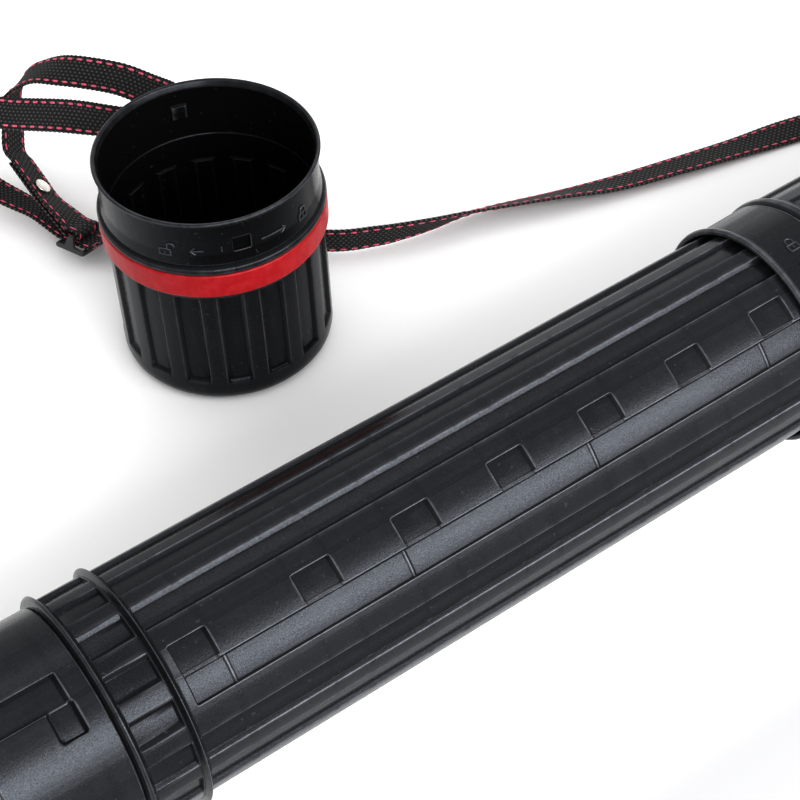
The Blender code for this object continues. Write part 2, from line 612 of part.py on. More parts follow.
# ---------------------------------------------------------------- slider
def slider_frame():
    """Bowed three-bar slider: two low end bars, a raised middle bar, two side cheeks."""
    hw = WEB_W / 2 + 1.4
    low, thick = -(WEB_T / 2 + GAP), 2.2
    cheeks, bars = [], []
    profile = [(-8.5, low - thick), (8.5, low - thick), (8.5, low), (3.2, low + 0.6), (1.9, BAR_UP + BAR_R), (-1.9, BAR_UP + BAR_R), (-3.2, low + 0.6), (-8.5, low)]
    for side in (-1.0, 1.0):
        v = [tuple(local(a, side * b, c)) for b in (hw, hw + 1.9) for a, c in profile]
        n = len(profile)
        f = [(i, (i + 1) % n, n + (i + 1) % n, n + i) for i in range(n)]
        f += [tuple(range(n)), tuple(n + i for i in reversed(range(n)))]
        cheeks.append((v, f))
    for a0, a1, c0, c1 in ((-8.5, -6.2, low - thick, low), (6.2, 8.5, low - thick, low)):
        v, f = [], []
        for b in (-hw - 0.8, hw + 0.8):
            for a, c in ((a0, c0), (a1, c0), (a1, c1), (a0, c1)):
                # kept just inside the cheeks' faces so that the union stays clean
                v.append(tuple(local(a * 0.99, b, c - 0.05 if c == c1 else c + 0.05)))
        f = [(0, 1, 5, 4), (1, 2, 6, 5), (2, 3, 7, 6), (3, 0, 4, 7), (0, 1, 2, 3), (7, 6, 5, 4)]
        bars.append((v, f))
    v, f = [], []
    m = 8
    for b in (-hw - 0.8, hw + 0.8):
        for i in range(m):
            t = 2 * math.pi * (i + 0.5) / m
            v.append(tuple(local(BAR_R * math.cos(t), b, BAR_UP - 0.05 + BAR_R * math.sin(t))))
    for i in range(m):
        j = (i + 1) % m
        f.append((i, j, m + j, m + i))
    f += [tuple(range(m)), tuple(m + i for i in reversed(range(m)))]
    bars.append((v, f))
    ob = add_mesh("slider_buckle", cheeks[0][0], cheeks[0][1], SLIDER, tuple(S0))
    adds = [join_cutters("slider_cheek", [cheeks[1]]), join_cutters("slider_bars", bars)]
    for add in reversed(adds):
        boolean(ob, add, "UNION")
    apply_all(ob)
    for add in adds:
        drop(add)
    return ob


slider_buckle = slider_frame()


# ---------------------------------------------------------------- rivets through the folded ends
def turned(name, centre, axis, profile, mat, n=16):
    """Solid of revolution about axis: profile is (height, radius), both ends on the axis."""
    ax = Vector(axis).normalized()
    u = ax.orthogonal().normalized()
    v = ax.cross(u)
    verts, faces = [], []
    rows = [(h, r) for h, r in profile]
    for h, r in rows:
        verts += [tuple(Vector(centre) + ax * h + (u * math.cos(2 * math.pi * i / n) + v * math.sin(2 * math.pi * i / n)) * r)
                  for i in range(n)]
    for k in range(len(rows) - 1):
        for i in range(n):
            j = (i + 1) % n
            faces.append((k * n + i, k * n + j, (k + 1) * n + j, (k + 1) * n + i))
    faces.append(tuple(range(n)))
    faces.append(tuple((len(rows) - 1) * n + i for i in range(n)))
    return add_mesh(name, verts, faces, mat, tuple(centre))


def bore_hole(ob, centre, axis, radius, reach, name):
    hole = turned(name, centre, axis, [(-reach, radius), (reach, radius)], None, 12)
    helper(hole)
    boolean(ob, hole, "DIFFERENCE")
    apply_all(ob)
    drop(hole)


def rivet(prefix, strip, top, axis, layers):
    """Domed cap with its post, and the back cap it is pressed into, through two layers."""
    bore_hole(strip, top - axis * (layers / 2), axis, 2.3, layers / 2 + 2.0, prefix + "_hole")
    dome = [(2.05, 0.9), (1.9, 2.2), (1.45, 3.4), (0.9, 4.2), (GAP, 4.5), (GAP, 1.9), (-layers - 1.2, 1.9)]
    head = turned(prefix + "_head", top, axis, dome, STEEL)
    low = top - axis * layers
    rim = turned_ring(prefix + "_back", low, axis, [(-GAP, 2.25), (-GAP, 4.1), (-0.9, 4.1), (-1.5, 3.3), (-1.5, 2.25)], STEEL)
    return head, rim


def turned_ring(name, centre, axis, profile, mat, n=16):
    """Ring of revolution about axis from a closed (height, radius) outline."""
    ax = Vector(axis).normalized()
    u = ax.orthogonal().normalized()
    v = ax.cross(u)
    verts, faces = [], []
    for h, r in profile:
        verts += [tuple(Vector(centre) + ax * h + (u * math.cos(2 * math.pi * i / n) + v * math.sin(2 * math.pi * i / n)) * r)
                  for i in range(n)]
    m = len(profile)
    for k in range(m):
        l = (k + 1) % m
        for i in range(n):
            j = (i + 1) % n
            faces.append((k * n + i, k * n + j, l * n + j, l * n + i))
    return add_mesh(name, verts, faces, mat, tuple(centre))


LAYERS = 2.1 + WEB_T
rivet("slider_rivet", strap_slider_end, rivet_at + e_n * (WEB_T / 2), e_n, LAYERS)
base_rivet_at = b_post + b_down * 28.0 + b_out * FOLD
rivet("base_rivet", strap_webbing, base_rivet_at + b_out * (WEB_T / 2), b_out, 2 * FOLD + WEB_T)

# ---------------------------------------------------------------- joint axes as empties
for name, place in (("tube_axis", (LIP_X, 0, AXIS_Z)), ("cap_axis", (CAP_X, CAP_Y, 0)), ("slider_axis", tuple(S0))):
    empty = bpy.data.objects.new(name, None)
    empty.location = world(place)
    empty.empty_display_size = 0.02
    collection.objects.link(empty)
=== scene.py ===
"""Drawing tube: fluted telescopic tube with twist-lock notches, loose bayonet cap, swivel rings and webbing strap."""
import math

import bpy
import numpy as np
from mathutils import Matrix, Vector

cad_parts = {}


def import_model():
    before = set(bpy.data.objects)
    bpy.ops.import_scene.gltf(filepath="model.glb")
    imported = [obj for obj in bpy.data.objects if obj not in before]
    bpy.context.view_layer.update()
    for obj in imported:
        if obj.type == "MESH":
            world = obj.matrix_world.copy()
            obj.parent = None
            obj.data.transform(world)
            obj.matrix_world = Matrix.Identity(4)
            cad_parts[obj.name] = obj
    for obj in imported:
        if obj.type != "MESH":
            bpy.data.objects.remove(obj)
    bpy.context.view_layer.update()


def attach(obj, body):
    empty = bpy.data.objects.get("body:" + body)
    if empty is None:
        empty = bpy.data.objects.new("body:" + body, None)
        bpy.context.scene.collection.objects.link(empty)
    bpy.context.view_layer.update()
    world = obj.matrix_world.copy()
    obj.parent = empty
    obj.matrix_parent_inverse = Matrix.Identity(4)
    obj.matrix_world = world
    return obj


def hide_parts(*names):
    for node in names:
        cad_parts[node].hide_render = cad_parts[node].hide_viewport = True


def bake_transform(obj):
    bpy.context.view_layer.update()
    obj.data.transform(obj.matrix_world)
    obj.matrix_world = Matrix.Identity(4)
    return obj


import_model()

# Layout millimetres: x along the tube, y toward the cap, z up from the floor.
OX, OY = 419.0, 97.25
AXIS_Z = 52.2
CAP_X, CAP_Y = 200.4, 193.7
SCENE = bpy.context.scene


def world(points):
    return (np.asarray(points, float) - np.array([OX, OY, 0.0])) * 0.001


# ---------------------------------------------------------------- camera
right = Vector((0.812951, -0.581315, -0.034396))
down = Vector((-0.444119, -0.580715, -0.682296))
ahead = Vector((0.376655, 0.569950, -0.730266))
cam_data = bpy.data.cameras.new("camera")
cam_data.sensor_fit = "HORIZONTAL"
cam_data.sensor_width = 36.0
cam_data.lens = 87.648
cam_data.clip_start, cam_data.clip_end = 0.05, 60.0
cam = bpy.data.objects.new("camera", cam_data)
turn = Matrix((right, -down, -ahead)).transposed().to_4x4()
cam.matrix_world = Matrix.Translation(Vector((-0.52665, -0.51755, 0.66999))) @ turn
SCENE.collection.objects.link(cam)
SCENE.camera = cam
SCENE.view_settings.view_transform = "Standard"
SCENE.view_settings.gamma = 0.72

# ---------------------------------------------------------------- floor and light
floor_mesh = bpy.data.meshes.new("studio_floor")
floor_mesh.from_pydata([(-6, -6, -0.0004), (6, -6, -0.0004), (6, 6, -0.0004), (-6, 6, -0.0004)], [], [(0, 1, 2, 3)])
floor = bpy.data.objects.new("studio_floor", floor_mesh)
SCENE.collection.objects.link(floor)


def nodes_of(mat):
    mat.use_nodes = True
    tree = mat.node_tree
    tree.nodes.clear()
    out = tree.nodes.new("ShaderNodeOutputMaterial")
    bsdf = tree.nodes.new("ShaderNodeBsdfPrincipled")
    tree.links.new(bsdf.outputs["BSDF"], out.inputs["Surface"])
    return tree, bsdf


class Tree:
    """Small helper that adds and links shader nodes."""

    def __init__(self, name):
        self.mat = bpy.data.materials.new(name)
        self.tree, self.bsdf = nodes_of(self.mat)

    def add(self, kind, ins=None, **props):
        n = self.tree.nodes.new(kind)
        for k, v in props.items():
            setattr(n, k, v)
        for k, v in (ins or {}).items():
            if isinstance(v, bpy.types.NodeSocket):
                self.tree.links.new(v, n.inputs[k])
            else:
                n.inputs[k].default_value = v
        return n

    def math(self, op, a, b=0.0, c=None):
        ins = {0: a, 1: b}
        if c is not None:
            ins[2] = c
        return self.add("ShaderNodeMath", ins, operation=op).outputs[0]

    def ramp(self, fac, stops, interpolation="LINEAR"):
        n = self.add("ShaderNodeValToRGB", {"Fac": fac})
        n.color_ramp.interpolation = interpolation
        while len(n.color_ramp.elements) < len(stops):
            n.color_ramp.elements.new(0.5)
        for e, (pos, col) in zip(n.color_ramp.elements, stops):
            e.position = pos
            e.color = tuple(col) + (1.0,) if len(col) == 3 else col
        return n.outputs["Color"]

    def noise(self, where, scale, detail=3.0, rough=0.5):
        return self.add("ShaderNodeTexNoise", {"Vector": where, "Scale": scale, "Detail": detail, "Roughness": rough}).outputs["Fac"]

    def mapped(self, scale=(1, 1, 1)):
        tc = self.add("ShaderNodeTexCoord")
        return self.add("ShaderNodeMapping", {"Vector": tc.outputs["Object"], "Scale": scale}).outputs["Vector"]

    def range(self, value, lo, hi, a=0.0, b=1.0):
        return self.add("ShaderNodeMapRange", {"Value": value, "From Min": a, "From Max": b, "To Min": lo, "To Max": hi}).outputs[0]

    def mix(self, fac, a, b):
        n = self.add("ShaderNodeMix", data_type="RGBA")
        for sock, v in ((n.inputs[0], fac), (n.inputs[6], a), (n.inputs[7], b)):
            if isinstance(v, bpy.types.NodeSocket):
                self.tree.links.new(v, sock)
            else:
                sock.default_value = v if not isinstance(v, tuple) or len(v) == 4 else v + (1.0,)
        return n.outputs[2]

    def bump(self, height, strength, distance):
        n = self.add("ShaderNodeBump", {"Height": height, "Strength": strength, "Distance": distance})
        self.tree.links.new(n.outputs["Normal"], self.bsdf.inputs["Normal"])

    def link(self, value, name):
        if isinstance(value, bpy.types.NodeSocket):
            self.tree.links.new(value, self.bsdf.inputs[name])
        else:
            self.bsdf.inputs[name].default_value = value


def floor_material():
    t = Tree("floor_paper")
    n = t.noise(t.mapped(), 5.0, 2.0)
    pale = t.ramp(n, [(0.3, (0.955, 0.955, 0.955)), (0.7, (0.975, 0.975, 0.975))])
    tc = t.add("ShaderNodeTexCoord")
    spread = t.add("ShaderNodeMapping", {"Vector": tc.outputs["Object"], "Location": (0.0, -0.08, 0.0), "Scale": (0.85, 1.15, 1.0)})
    far = t.add("ShaderNodeVectorMath", {0: spread.outputs["Vector"]}, operation="LENGTH").outputs["Value"]
    fade = t.add("ShaderNodeMapRange", {"Value": far, "From Min": 0.50, "From Max": 1.25, "To Min": 0.0, "To Max": 1.0}, interpolation_type="SMOOTHSTEP").outputs[0]
    front = t.add("ShaderNodeSeparateXYZ", {"Vector": tc.outputs["Object"]}).outputs["Y"]
    near = t.add("ShaderNodeMapRange", {"Value": front, "From Min": -0.15, "From Max": -0.24, "To Min": 0.0, "To Max": 1.0}, interpolation_type="SMOOTHSTEP").outputs[0]
    # the floor's colour fades to grey far off and in front of the tube: painted falloff of the light, hidden where the
    # floor renders white
    t.link(t.mix(fade, t.mix(near, pale, (0.49, 0.49, 0.495)), (0.58, 0.58, 0.585)), "Base Color")
    t.link(0.9, "Roughness")
    t.link(0.0, "Specular IOR Level")
    return t.mat


floor_mesh.materials.append(floor_material())

world_nodes = bpy.data.worlds.new("studio")
SCENE.world = world_nodes
world_nodes.use_nodes = True
background = world_nodes.node_tree.nodes["Background"]
background.inputs["Color"].default_value = (1.0, 1.0, 1.0, 1.0)
background.inputs["Strength"].default_value = 1.02


def area_light(name, at, toward, size_x, size_y, radiance, colour, lift=0.0):
    """Rectangular soft box; radiance is what it shows in a mirror, lift moves it along its own upright."""
    data = bpy.data.lights.new(name, "AREA")
    data.shape = "RECTANGLE"
    data.size, data.size_y = size_x, size_y
    data.energy = radiance * 4.0 * size_x * size_y
    data.color = colour
    ob = bpy.data.objects.new(name, data)
    facing = (Vector(toward) - Vector(at)).to_track_quat("-Z", "Y")
    ob.location = Vector(at) + facing @ Vector((0.0, lift, 0.0))
    ob.rotation_euler = facing.to_euler()
    ob.visible_camera = False
    SCENE.collection.objects.link(ob)
    return ob


# one large front soft box, graded from strip to strip, with weak panels behind and overhead
WHITE = (1.0, 1.0, 1.0)
for k, (lift, level) in enumerate(((-0.42, 0.4), (-0.14, 4.0), (0.14, 7.5), (0.42, 5.6), (0.70, 1.3))):
    area_light("front_softbox_%d" % k, (-0.22, -1.36, 0.62), (-0.33, -0.18, 0.10), 2.1, 0.28, level, WHITE, lift)
area_light("back_panel", (1.35, 1.35, 0.55), (0.0, 0.0, 0.1), 2.0, 0.9, 0.42, WHITE)
area_light("overhead_panel", (0.15, 0.90, 2.0), (0.0, 0.0, 0.1), 1.6, 0.7, 0.78, WHITE)


# ---------------------------------------------------------------- mesh helpers
def area_normals(verts, faces):
    n = np.zeros_like(verts)
    for size in (3, 4):
        f = np.array([q for q in faces if len(q) == size], int)
        if not len(f):
            continue
        if size == 4:
            fn = np.cross(verts[f[:, 2]] - verts[f[:, 0]], verts[f[:, 3]] - verts[f[:, 1]])
        else:
            fn = np.cross(verts[f[:, 1]] - verts[f[:, 0]], verts[f[:, 2]] - verts[f[:, 0]])
        for i in range(size):
            for c in range(3):
                n[:, c] += np.bincount(f[:, i], fn[:, c], len(verts))
    length = np.linalg.norm(n, axis=1)
    return n / np.maximum(length, 1e-12)[:, None]


def make(name, verts_mm, faces, mat, body, attrs=None, soft=True, instead=()):
    """A finished piece from layout millimetres, with area-weighted smooth normals."""
    verts = world(verts_mm)
    me = bpy.data.meshes.new(name)
    me.from_pydata(verts.tolist(), [], [tuple(int(i) for i in f) for f in faces])
    me.polygons.foreach_set("use_smooth", [soft] * len(me.polygons))
    for key, values in (attrs or {}).items():
        a = me.attributes.new(key, "FLOAT", "POINT")
        a.data.foreach_set("value", np.asarray(values, np.float32))
    me.materials.append(mat)
    if soft:
        me.normals_split_custom_set_from_vertices(area_normals(np.asarray(verts_mm, float), faces).tolist())
    me.update()
    ob = bpy.data.objects.new(name, me)
    SCENE.collection.objects.link(ob)
    if body:
        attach(ob, body)
    if instead:
        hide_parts(*instead)
    return ob


def ramp(t, k=0.25):
    """0 before, 1 after, straight between, with rounded ends."""
    def soft(u):
        return np.where(u <= -k, 0.0, np.where(u >= k, u, (u + k) ** 2 / (4 * k)))
    return soft(t) - soft(t - 1.0)


def smooth(t):
    t = np.clip(t, 0.0, 1.0)
    return t * t * (3 - 2 * t)


def wrap(a):
    return (np.asarray(a, float) + 180.0) % 360.0 - 180.0


def box_d(a, s, a0, a1, s0, s1, rad):
    """Signed distance to a rounded rectangle, negative inside."""
    qa = np.abs(a - (a0 + a1) / 2) - ((a1 - a0) / 2 - rad)
    qs = np.abs(s - (s0 + s1) / 2) - ((s1 - s0) / 2 - rad)
    return np.hypot(np.maximum(qa, 0), np.maximum(qs, 0)) + np.minimum(np.maximum(qa, qs), 0) - rad


def rounded(points, steps=3):
    """Corners (along, radius, rounding, tag) to rows with the corners rounded."""
    out = []
    for i, (a, r, f, tag) in enumerate(points):
        if f <= 0 or i in (0, len(points) - 1):
            out.append((a, r, tag))
            continue
        p0, p, p1 = (np.array(points[j][:2], float) for j in (i - 1, i, i + 1))
        lu, lv = np.linalg.norm(p0 - p), np.linalg.norm(p1 - p)
        d = min(f, 0.48 * lu, 0.48 * lv)
        s, e = p + (p0 - p) / lu * d, p + (p1 - p) / lv * d
        for j in range(steps + 1):
            q = j / steps
            b = (1 - q) ** 2 * s + 2 * q * (1 - q) * p + q * q * e
            out.append((b[0], b[1], tag))
    return out


def thin(values, gap):
    out = []
    for v in sorted(values):
        if not out or v - out[-1] >= gap:
            out.append(v)
    return out


def refine(rows, cuts, tags):
    """Adds rows at the places in cuts on the walls with these tags."""
    out = [rows[0]]
    for (a0, r0, t0), (a1, r1, t1) in zip(rows, rows[1:]):
        if t0 == t1 and t0 in tags and abs(a1 - a0) > 0.15:
            lo, hi = min(a0, a1), max(a0, a1)
            ins = [c for c in cuts if lo + 0.05 < c < hi - 0.05]
            for c in (ins if a1 > a0 else reversed(ins)):
                q = (c - a0) / (a1 - a0)
                out.append((c, r0 + (r1 - r0) * q, t0))
        out.append((a1, r1, t1))
    return out


def wall_lines(edge, into, wall, k=0.25):
    """Places across a wall that starts at edge and runs into (+1 or -1)."""
    return [edge + into * wall * t for t in (-k, 0.0, k, 1 - k, 1.0, 1 + k)]


def lathe_grid(rows, cols, radius, point, loop):
    """Vertices and faces of a turned wall; radius(a, r, tag, cols) gives each row's radii."""
    verts, faces, starts, wear_and_highlight = [], [], [], []
    n = len(cols)
    radii = []
    for a, r, tag in rows:
        if r <= 1e-6:
            starts.append((len(verts), True))
            verts.append(point(0.0, 0.0, a))
            radii.append(None)
            continue
        rr = radius(a, r, tag)
        starts.append((len(verts), False))
        verts.extend(point(c, q, a) for c, q in zip(cols, rr))
        radii.append(rr)
    m = len(rows)
    for i in range(m if loop else m - 1):
        (s0, pole0), (s1, pole1) = starts[i], starts[(i + 1) % m]
        if pole0 and pole1:
            continue
        for j in range(n):
            k = (j + 1) % n
            if pole0:
                faces.append((s0, s1 + j, s1 + k))
            elif pole1:
                faces.append((s0 + j, s1, s0 + k))
            else:
                faces.append((s0 + j, s1 + j, s1 + k, s0 + k))
    return np.array(verts), faces


def edge_highlight_and_crease_shade(verts, faces, scale):
    """How far each point stands proud of its neighbours or lies below them, 0 to 1: proud edges are painted pale as rub
    wear and painted highlight, creases get painted shade.
    """
    ends = []
    for size in (3, 4):
        f = np.array([q for q in faces if len(q) == size], int)
        for i in range(size if len(f) else 0):
            a, b = f[:, i], f[:, (i + 1) % size]
            ends += [np.stack([a, b]), np.stack([b, a])]
    p, q = np.hstack(ends)
    apart = np.maximum(np.linalg.norm(verts[q] - verts[p], axis=1), 1e-6)
    w = 1.0 / np.maximum(apart, 0.15)
    total = np.stack([np.bincount(p, (verts[q, c] - verts[p, c]) * w * w, len(verts)) for c in range(3)], 1)
    lift = -(total * area_normals(verts, faces)).sum(1) / np.maximum(np.bincount(p, w, len(verts)), 1e-9)
    both = []
    for side in (lift, -lift):
        value = np.clip(side / scale, 0.0, 1.0)
        # a mark may fade out over a short distance only, not across a wide face
        drop = np.maximum(value[p] - value[q], 0.0)
        held = value.copy()
        np.minimum.at(held, p, value[p] - drop * (1.0 - np.minimum(1.0, 0.6 / apart) ** 2))
        both.append(held)
    return both


def tube_point(deg, r, x):
    t = math.radians(deg)
    return (x, -r * math.cos(t), AXIS_Z + r * math.sin(t))


def cap_point(deg, r, z):
    t = math.radians(deg)
    return (CAP_X + r * math.cos(t), CAP_Y + r * math.sin(t), z)


def base_point(deg, r, x):
    """Angles run from +Y upward."""
    t = math.radians(deg)
    return (x, r * math.cos(t), AXIS_Z + r * math.sin(t))


# ---------------------------------------------------------------- materials
def black_plastic(name, streak=(1.0, 1.0, 1.0), shaded_tone=1.0, ior=1.42, rub_and_highlight=0.75):
    """Satin moulded plastic: faint cloudiness, fine moulded grain, sliding marks, paler edges that are rub wear and
    painted highlight, and painted shade in creases.
    """
    t = Tree(name)
    where = t.mapped()
    cloud = t.noise(where, 14.0, 4.0, 0.55)
    base = t.ramp(cloud, [(0.30, (0.0085 * shaded_tone, 0.0085 * shaded_tone, 0.0092 * shaded_tone)), (0.72, (0.0125 * shaded_tone, 0.0125 * shaded_tone, 0.0135 * shaded_tone))])
    wear_and_highlight = t.add("ShaderNodeAttribute", attribute_name="wear_and_highlight").outputs["Fac"]
    broken = t.math("MULTIPLY", wear_and_highlight, t.range(t.noise(where, 160.0, 3.0, 0.7), 0.6, 1.0, 0.40, 0.66))
    specks = t.range(t.noise(where, 420.0, 1.0, 0.4), 0.0, 1.0, 0.735, 0.76)
    # pale mix: proud edges painted paler as rub wear and painted highlight, plus random pale dust specks
    mark = t.math("MAXIMUM", t.math("MULTIPLY", broken, rub_and_highlight), t.math("MULTIPLY", specks, 0.12))
    t.link(t.mix(mark, base, (0.185, 0.190, 0.205)), "Base Color")
    rubs = t.noise(t.mapped(streak), 260.0, 3.0, 0.6)
    grain = t.noise(where, 1300.0, 2.0, 0.6)
    # creases and the cap window get a rougher surface, and their specular tint falls to a fifth: painted shade in
    # hollows
    matt_and_crease_shade = t.add("ShaderNodeAttribute", attribute_name="matt_and_crease_shade").outputs["Fac"]
    rough = t.math("ADD", t.range(rubs, 0.195, 0.24, 0.3, 0.7), t.range(grain, -0.05, 0.06, 0.3, 0.7))
    t.link(t.math("ADD", rough, t.math("MULTIPLY", matt_and_crease_shade, 0.5)), "Roughness")
    sparkle = t.range(t.noise(where, 2300.0, 1.0, 0.5), 0.62, 1.38, 0.3, 0.7)
    shaded_reflect_grain = t.math("MULTIPLY", t.range(matt_and_crease_shade, 1.0, 0.2), sparkle)
    # the blue cast of the specular tint paints in the lamps' colour; the noise in it is moulded grain
    t.link(t.add("ShaderNodeVectorMath", {0: (0.84, 0.90, 1.0), "Scale": shaded_reflect_grain}, operation="SCALE").outputs["Vector"], "Specular Tint")
    t.link(ior, "IOR")
    t.bump(t.math("ADD", t.math("MULTIPLY", grain, 0.8), t.math("MULTIPLY", t.noise(where, 420.0, 2.0), 0.4)), 0.45, 0.00012)
    return t.mat


def red_plastic():
    """Semi-gloss red moulding with soft flow clouds and paler edges that are rub wear and painted highlight."""
    t = Tree("red_moulding")
    where = t.mapped()
    cloud = t.noise(where, 22.0, 4.0, 0.55)
    base = t.ramp(cloud, [(0.28, (0.285, 0.0045, 0.0085)), (0.74, (0.305, 0.0055, 0.0100))])
    wear_and_highlight = t.add("ShaderNodeAttribute", attribute_name="wear_and_highlight").outputs["Fac"]
    broken = t.math("MULTIPLY", wear_and_highlight, t.range(t.noise(where, 190.0, 3.0, 0.7), 0.15, 0.6, 0.40, 0.66))
    t.link(t.mix(broken, base, (0.50, 0.06, 0.07)), "Base Color")
    t.link(t.range(t.noise(where, 260.0, 3.0), 0.33, 0.37, 0.3, 0.7), "Roughness")
    t.link(1.36, "IOR")
    t.bump(t.noise(where, 1100.0, 2.0), 0.10, 0.0001)
    return t.mat


def webbing():
    """Tubular weave: offset rows of floats along the strap, painted paler where they stand up as a painted highlight,
    with a little lint.
    """
    t = Tree("woven_webbing")
    u = t.math("DIVIDE", t.add("ShaderNodeAttribute", attribute_name="along").outputs["Fac"], 2.7)
    v = t.math("DIVIDE", t.math("ADD", t.add("ShaderNodeAttribute", attribute_name="across").outputs["Fac"], 50.0), 1.78)
    row = t.math("FLOOR", v)
    inside = t.math("FRACT", v)
    hump = t.math("SINE", t.math("MULTIPLY", inside, math.pi))
    phase = t.math("ADD", u, t.math("MULTIPLY", row, 0.5))
    floats = t.math("ADD", t.math("MULTIPLY", t.math("COSINE", t.math("MULTIPLY", phase, 2 * math.pi)), 0.5), 0.5)
    height = t.math("MULTIPLY", hump, t.math("POWER", floats, 0.7))
    yarn = t.math("MULTIPLY", t.math("ADD", t.math("SINE", t.math("MULTIPLY", t.math("ADD", t.math("MULTIPLY", u, 9.0), t.math("MULTIPLY", v, 6.0)), math.pi)), 1.0), 0.5)
    lint = t.noise(t.mapped(), 700.0, 3.0, 0.7)
    shade = t.math("ADD", t.math("MULTIPLY", height, 0.72), t.math("ADD", t.math("MULTIPLY", lint, 0.22), t.math("MULTIPLY", yarn, 0.10)))
    # raised floats ramp up to pale grey: painted highlight on the weave
    t.link(t.ramp(shade, [(0.34, (0.0005, 0.0005, 0.0005)), (0.62, (0.006, 0.0056, 0.0056)), (0.93, (0.15, 0.145, 0.145))]), "Base Color")
    t.link(t.range(lint, 0.52, 0.75), "Roughness")
    t.link(0.05, "Sheen Weight")
    t.link(0.5, "Sheen Roughness")
    t.bump(t.math("ADD", height, t.math("MULTIPLY", yarn, 0.14)), 0.9, 0.0006)
    return t.mat


def red_thread():
    t = Tree("red_thread")
    u = t.add("ShaderNodeAttribute", attribute_name="along").outputs["Fac"]
    v = t.add("ShaderNodeAttribute", attribute_name="across").outputs["Fac"]
    ply = t.math("ADD", t.math("MULTIPLY", t.math("SINE", t.math("MULTIPLY", t.math("ADD", u, t.math("MULTIPLY", v, 0.8)), 2 * math.pi / 0.85)), 0.5), 0.5)
    lint = t.noise(t.mapped(), 900.0, 2.0, 0.6)
    shade = t.math("ADD", t.math("MULTIPLY", ply, 0.55), t.math("MULTIPLY", lint, 0.45))
    # the ply crests ramp up to pale pink: painted highlight on the thread
    t.link(t.ramp(shade, [(0.15, (0.36, 0.016, 0.055)), (0.52, (0.70, 0.070, 0.160)), (0.88, (0.90, 0.34, 0.44))]), "Base Color")
    t.link(t.range(lint, 0.42, 0.62), "Roughness")
    t.link(0.15, "Sheen Weight")
    t.bump(ply, 0.5, 0.0002)
    return t.mat


def slider_plastic():
    t = Tree("slider_moulding")
    where = t.mapped()
    cloud = t.noise(where, 120.0, 3.0)
    # the slider's dark plastic is lifted to a mid grey as a painted highlight
    t.link(t.ramp(cloud, [(0.3, (0.036, 0.037, 0.040)), (0.7, (0.054, 0.055, 0.059))]), "Base Color")
    t.link(t.range(t.noise(where, 300.0, 3.0), 0.30, 0.44, 0.3, 0.7), "Roughness")
    t.bump(t.noise(where, 2200.0, 2.0), 0.15, 0.0001)
    return t.mat


def rivet_steel():
    t = Tree("plated_rivet")
    where = t.mapped()
    cloud = t.noise(where, 350.0, 4.0, 0.6)
    t.link(t.ramp(cloud, [(0.3, (0.72, 0.71, 0.66)), (0.7, (0.85, 0.84, 0.79))]), "Base Color")
    t.link(1.0, "Metallic")
    t.link(t.range(t.noise(where, 900.0, 3.0), 0.36, 0.50, 0.3, 0.7), "Roughness")
    t.bump(t.noise(where, 1800.0, 2.0), 0.12, 0.0001)
    return t.mat


TUBE_BLACK = black_plastic("satin_black_tube", (0.15, 1.0, 1.0))
# the cap is a darker copy of the tube's plastic, half the base colour: painted shade for its darker look
CAP_BLACK_SHADED = black_plastic("satin_black_cap_shaded", (1.0, 1.0, 0.15), 0.5, 1.35, 0.35)
MARK_BLACK = black_plastic("satin_black_mark", (1.0, 1.0, 1.0), 1.0, 1.42, 0.5)
RED = red_plastic()
WEBBING = webbing()
THREAD = red_thread()
SLIDER = slider_plastic()
STEEL = rivet_steel()

# ---------------------------------------------------------------- fluted walls
STEP = 22.5
HALF = 7.0


def flute_columns(first, radius, wall=1.6, k=0.25):
    w = math.degrees(wall / radius)
    out = []
    for i in range(16):
        c = first + STEP * i
        for o in (HALF + w * k, HALF, HALF - w * k, HALF - w * (1 - k), HALF - w, HALF - w * (1 + k)):
            out += [c + o, c - o]
        out += [c, c + 2.5, c - 2.5, c + 9.3, c - 9.3, c + 11.25]
    return out


def flutes(a, deg, first, a0, a1, radius, depth, wall=1.6, w0=1.6, w1=1.6, skip=()):
    """Depth of the pressed panels at along a and angles deg, with mitred corners; w0 and w1 are the end walls' lengths."""
    i = np.round((deg - first) / STEP)
    s = np.radians(deg - first - STEP * i) * radius
    hw = math.radians(HALF) * radius
    cut = depth * ramp(np.minimum((hw - np.abs(s)) / wall, min((a - a0) / w0, (a1 - a) / w1)))
    for c in skip:
        cut = np.where(np.abs(wrap(first + STEP * i - c)) < 1.0, 0.0, cut)
    return cut


def patch(a, deg, centre, half, a0, a1, radius, wall, corner):
    """Coverage, 0 to 1, of a rectangular recess."""
    s = np.radians(wrap(deg - centre)) * radius
    hw = math.radians(half) * radius
    return ramp(-box_d(a, s, a0, a1, -hw, hw, corner) / wall)


# ---------------------------------------------------------------- inner tube
PITCH, FIRST, LEN = 45.86, 103.0, 17.9
POCKETS = [FIRST + PITCH * k for k in range(9)]
RIBS = (67.0, 147.6, 238.4, 330.1, 421.8, 513.5)

cols = flute_columns(82.5, 48.4)
for half in (0.0, 180.0):
    cols += [half + c for e, d, w in ((35.5, 1, 0.6), (50.0, -1, 0.6), (50.85, 1, 0.5), (65.0, -1, 0.6), (80.6, -1, 0.54)) for c in wall_lines(e, d, w)]
    cols += [half + c for c in (53.0, 56.0, 59.0, 62.0, 66.4, 66.9, 70.0, 76.0, 39.0, 42.75, 46.0, 50.45)]
INNER_COLS = np.array(thin([c % 360.0 for c in cols], 0.11))

